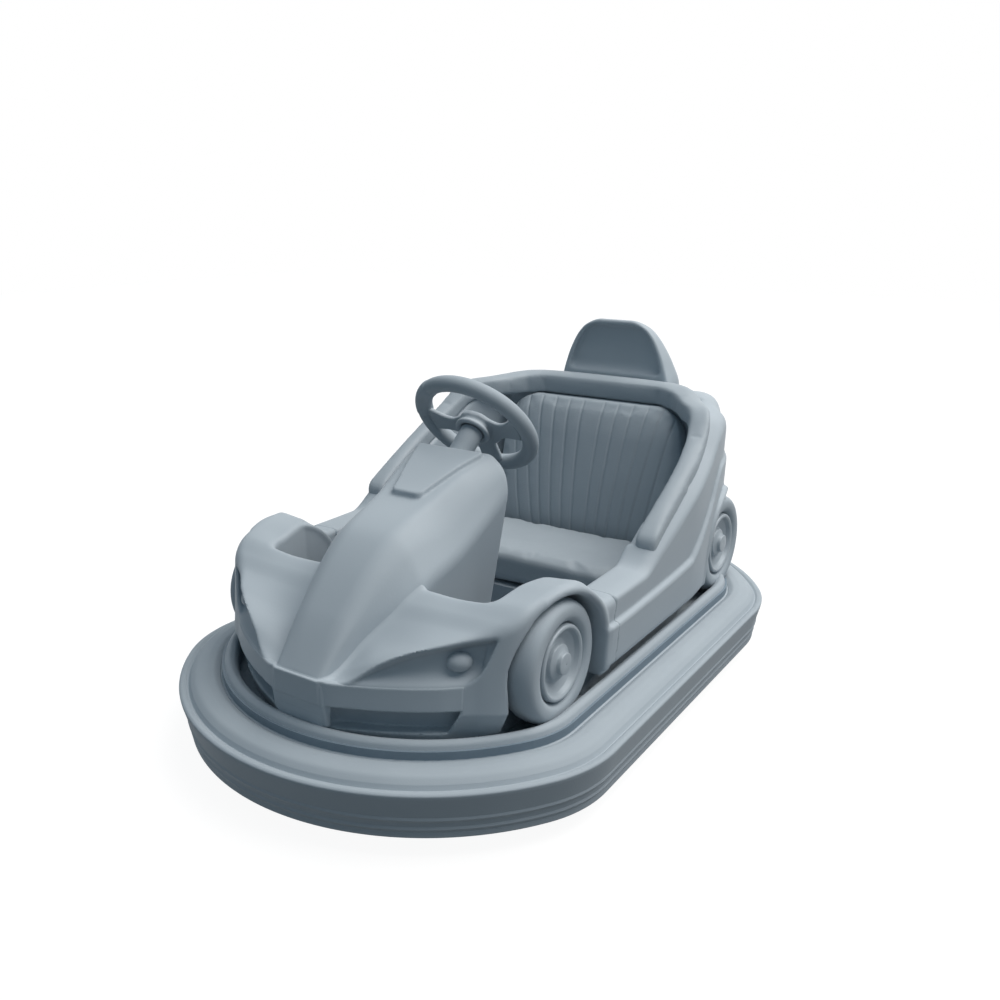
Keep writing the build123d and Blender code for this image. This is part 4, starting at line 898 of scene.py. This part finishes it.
# %%
def swollen(name, block, cap, pressure=4.0, voxel=0.006):
    """A block remeshed evenly, swollen by pressure, its points capped to a distance from where they began."""
    remesh = block.modifiers.new("even", "REMESH")
    remesh.mode = "VOXEL"
    remesh.voxel_size = voxel
    freeze(block)
    start = np.empty(3 * len(block.data.vertices), np.float32)
    block.data.vertices.foreach_get("co", start)
    cloth = block.modifiers.new("filled", "CLOTH")
    cloth.settings.use_pressure = True
    cloth.settings.uniform_pressure_force = pressure
    cloth.settings.effector_weights.gravity = 0
    cloth.settings.tension_stiffness = 30
    cloth.settings.compression_stiffness = 30
    cloth.settings.bending_stiffness = 4
    cloth.point_cache.frame_end = 20
    for step in range(1, 21):
        bpy.context.scene.frame_set(step)
    freeze(block)
    bpy.context.scene.frame_set(1)
    now = np.empty_like(start)
    block.data.vertices.foreach_get("co", now)
    move = (now - start).reshape(-1, 3)
    length = np.linalg.norm(move, axis=1, keepdims=True)
    far = start.reshape(-1, 3) + move * np.minimum(1, cap * MM / np.maximum(length, 1e-9))
    block.data.vertices.foreach_set("co", far.astype(np.float32).ravel())
    block.data.update()
    block.data.polygons.foreach_set("use_smooth", np.ones(len(block.data.polygons), bool))
    block.name = name
    return block


def freeze(piece):
    """Makes a piece's modifiers its own mesh."""
    seen = piece.evaluated_get(bpy.context.evaluated_depsgraph_get())
    mesh = bpy.data.meshes.new_from_object(seen)
    piece.modifiers.clear()
    piece.data = mesh


def cushion_block(x, y, z):
    """Seat cushion before it swells."""
    plan = soft_max(np.abs(x) - 296, np.abs(y - 272) - 152, 90)
    return soft_max(plan, np.abs(z - 243) - 43, 22)


def back_block(x, y, z):
    """Seat back before it swells: a leaning slab with drawn-in upper corners; its upright channels are pressed in
    later.
    """
    across = np.abs(x)
    front_y = curve(((190, 446), (300, 450), (560, 496), (668, 534)), z)
    width = curve(((190, 302), (520, 304), (600, 292), (640, 268), (668, 225)), z)
    shape = soft_max(soft_max(across - width, z - 668, 26), front_y - y, 10)
    back = curve(((190, 468), (420, 552), (660, 556)), z)
    return soft_max(soft_max(shape, y - back, 6), 196 - z, 12)


def press(piece, way, amount):
    """Moves a cover's points along a direction in millimetres by amount(x, y, z, normal), after one subdivision."""
    finer = piece.modifiers.new("finer", "SUBSURF")
    finer.levels = finer.render_levels = 1
    freeze(piece)
    count = len(piece.data.vertices)
    at, normal = np.empty(3 * count, np.float32), np.empty(3 * count, np.float32)
    piece.data.vertices.foreach_get("co", at)
    piece.data.vertex_normals.foreach_get("vector", normal)
    at, normal = at.reshape(-1, 3), normal.reshape(-1, 3)
    x, y, z = (at / MM).T
    at += np.outer(amount(x, y, z, normal) * MM, way).astype(np.float32)
    piece.data.vertices.foreach_set("co", at.ravel())
    piece.data.polygons.foreach_set("use_smooth", np.ones(len(piece.data.polygons), bool))
    piece.data.update()


seams = ((36, 0.03), (84, 0.06), (133, 0.09), (182, 0.119), (231, 0.163), (274, 0.159))


def channels(x, y, z, normal):
    """Sewn channels down the seat back: a narrow groove at each seam, the foam a little proud between."""
    near = np.min([np.abs(np.abs(x) - (at - fan * (696 - z))) for at, fan in seams], axis=0)
    depth = 3.6 * np.exp(-(near / 2.6) ** 2) - 0.8 * (1 - np.exp(-(near / 15) ** 2))
    fade = np.clip((z - 205) / 60, 0, 1) * np.clip((668 - z) / 14, 0, 1)
    return depth * fade * np.clip(-2 * normal[:, 1] - 0.4, 0, 1)


cushion = swollen("cushion_cover", level_surface("cushion", cushion_block, (-312, 104, 186), (312, 440, 302), 8), 9)
placed(cushion, "seat_vinyl", "seat_cushion")
back = swollen("back_cover", level_surface("back", back_block, (-314, 428, 184), (314, 566, 668), 8), 7)
press(back, (0, 0.98, -0.17), channels)
placed(back, "seat_vinyl", "seat_back")

def coaming_block(x, y, z):
    """Coaming roll before it swells: a band along the cockpit's edge, its crown above the shoulder."""
    plan = coaming_plan(x, y)
    thick = curve(((-20, 27.5), (400, 27.5), (520, 33), (640, 37)), y)
    band = np.abs(plan + 2.5 + thick) - thick
    high = z - curve(shoulder_z, y)
    roll = soft_max(soft_max(band, high - 20, 11), -high - curve(((300, 25), (520, 36)), y), 6)
    return soft_max(roll, 0 - y, 16)


coaming = swollen("coaming_cover",
                  level_surface("coaming", coaming_block, (-462, -30, 380), (462, 640, 736), 7), 6, voxel=0.0055)
placed(coaming, "seat_vinyl", "coaming_pad")
print("pads", len(cushion.data.polygons), len(back.data.polygons), len(coaming.data.polygons), "faces")

# %% [markdown]
# ## Light, floor and camera
# A broad soft light hangs over the car and a weak cool sky fills the shadows, so tops are pale and
# fronts are deep, as in the photograph. The floor is white to the camera, yet it sends back little
# light, and it keeps the car's shadow.

# %%
scene = bpy.context.scene
scene.view_settings.view_transform = "Standard"
camera = bpy.data.objects.new("camera", bpy.data.cameras.new("camera"))
camera.data.lens = 35.0
camera.location = (1.3356, -2.0226, 1.2261)
camera.rotation_euler = (math.pi / 2 - 0.2968, 0, 0.5804)
scene.collection.objects.link(camera)
scene.camera = camera


def area_light(name, where, toward, size, power, colour):
    """A square light at a place, turned towards a point."""
    data = bpy.data.lights.new(name, "AREA")
    data.size = size
    data.energy = power
    data.color = colour
    light = bpy.data.objects.new(name, data)
    light.location = where
    way = np.array(toward, float) - np.array(where, float)
    light.rotation_euler = (math.atan2(math.hypot(way[0], way[1]), -way[2]), 0,
                            math.atan2(way[1], way[0]) - math.pi / 2)
    scene.collection.objects.link(light)
    return light


area_light("soft overhead", (2.7, 1.7, 6.8), (0, 0, 0.3), 6.6, 670, (1.0, 0.955, 0.91))

world = bpy.data.worlds.new("sky")
scene.world = world
world.use_nodes = True
sky = world.node_tree
sky.nodes.clear()


def seen(tree):
    """One where a ray from the camera, or one through gloss or glass, meets the surface, else zero."""
    path = add_node(tree, "ShaderNodeLightPath")
    direct = add_node(tree, "ShaderNodeMath", {0: path.outputs["Is Camera Ray"], 1: path.outputs["Is Glossy Ray"]},
                      operation="MAXIMUM")
    return add_node(tree, "ShaderNodeMath", {0: direct.outputs[0], 1: path.outputs["Is Transmission Ray"]},
                    operation="MAXIMUM").outputs[0]


fill = add_node(sky, "ShaderNodeBackground", {"Color": (0.55, 0.80, 1.0, 1), "Strength": 0.25})
white = add_node(sky, "ShaderNodeBackground", {"Color": (1, 1, 1, 1), "Strength": 1.0})
choice = add_node(sky, "ShaderNodeMixShader", {0: seen(sky), 1: fill.outputs[0], 2: white.outputs[0]})
add_node(sky, "ShaderNodeOutputWorld", {"Surface": choice.outputs[0]})

floor = grid_mesh("floor", *(v * 12000.0 for v in np.meshgrid([-1, 1], [-1, 1], indexing="ij")),
                  np.zeros((2, 2)) - 0.5, False, False)
paper, tree, shader, where = new_material("white studio floor")
shader.inputs["Base Color"].default_value = (0.12, 0.12, 0.12, 1)
shader.inputs["Roughness"].default_value = 1.0
shader.inputs["Emission Color"].default_value = (1, 1, 1, 1)
glow = add_node(tree, "ShaderNodeMath", {0: seen(tree), 1: 0.93}, operation="MULTIPLY")
tree.links.new(glow.outputs[0], shader.inputs["Emission Strength"])
floor.data.materials.append(paper)
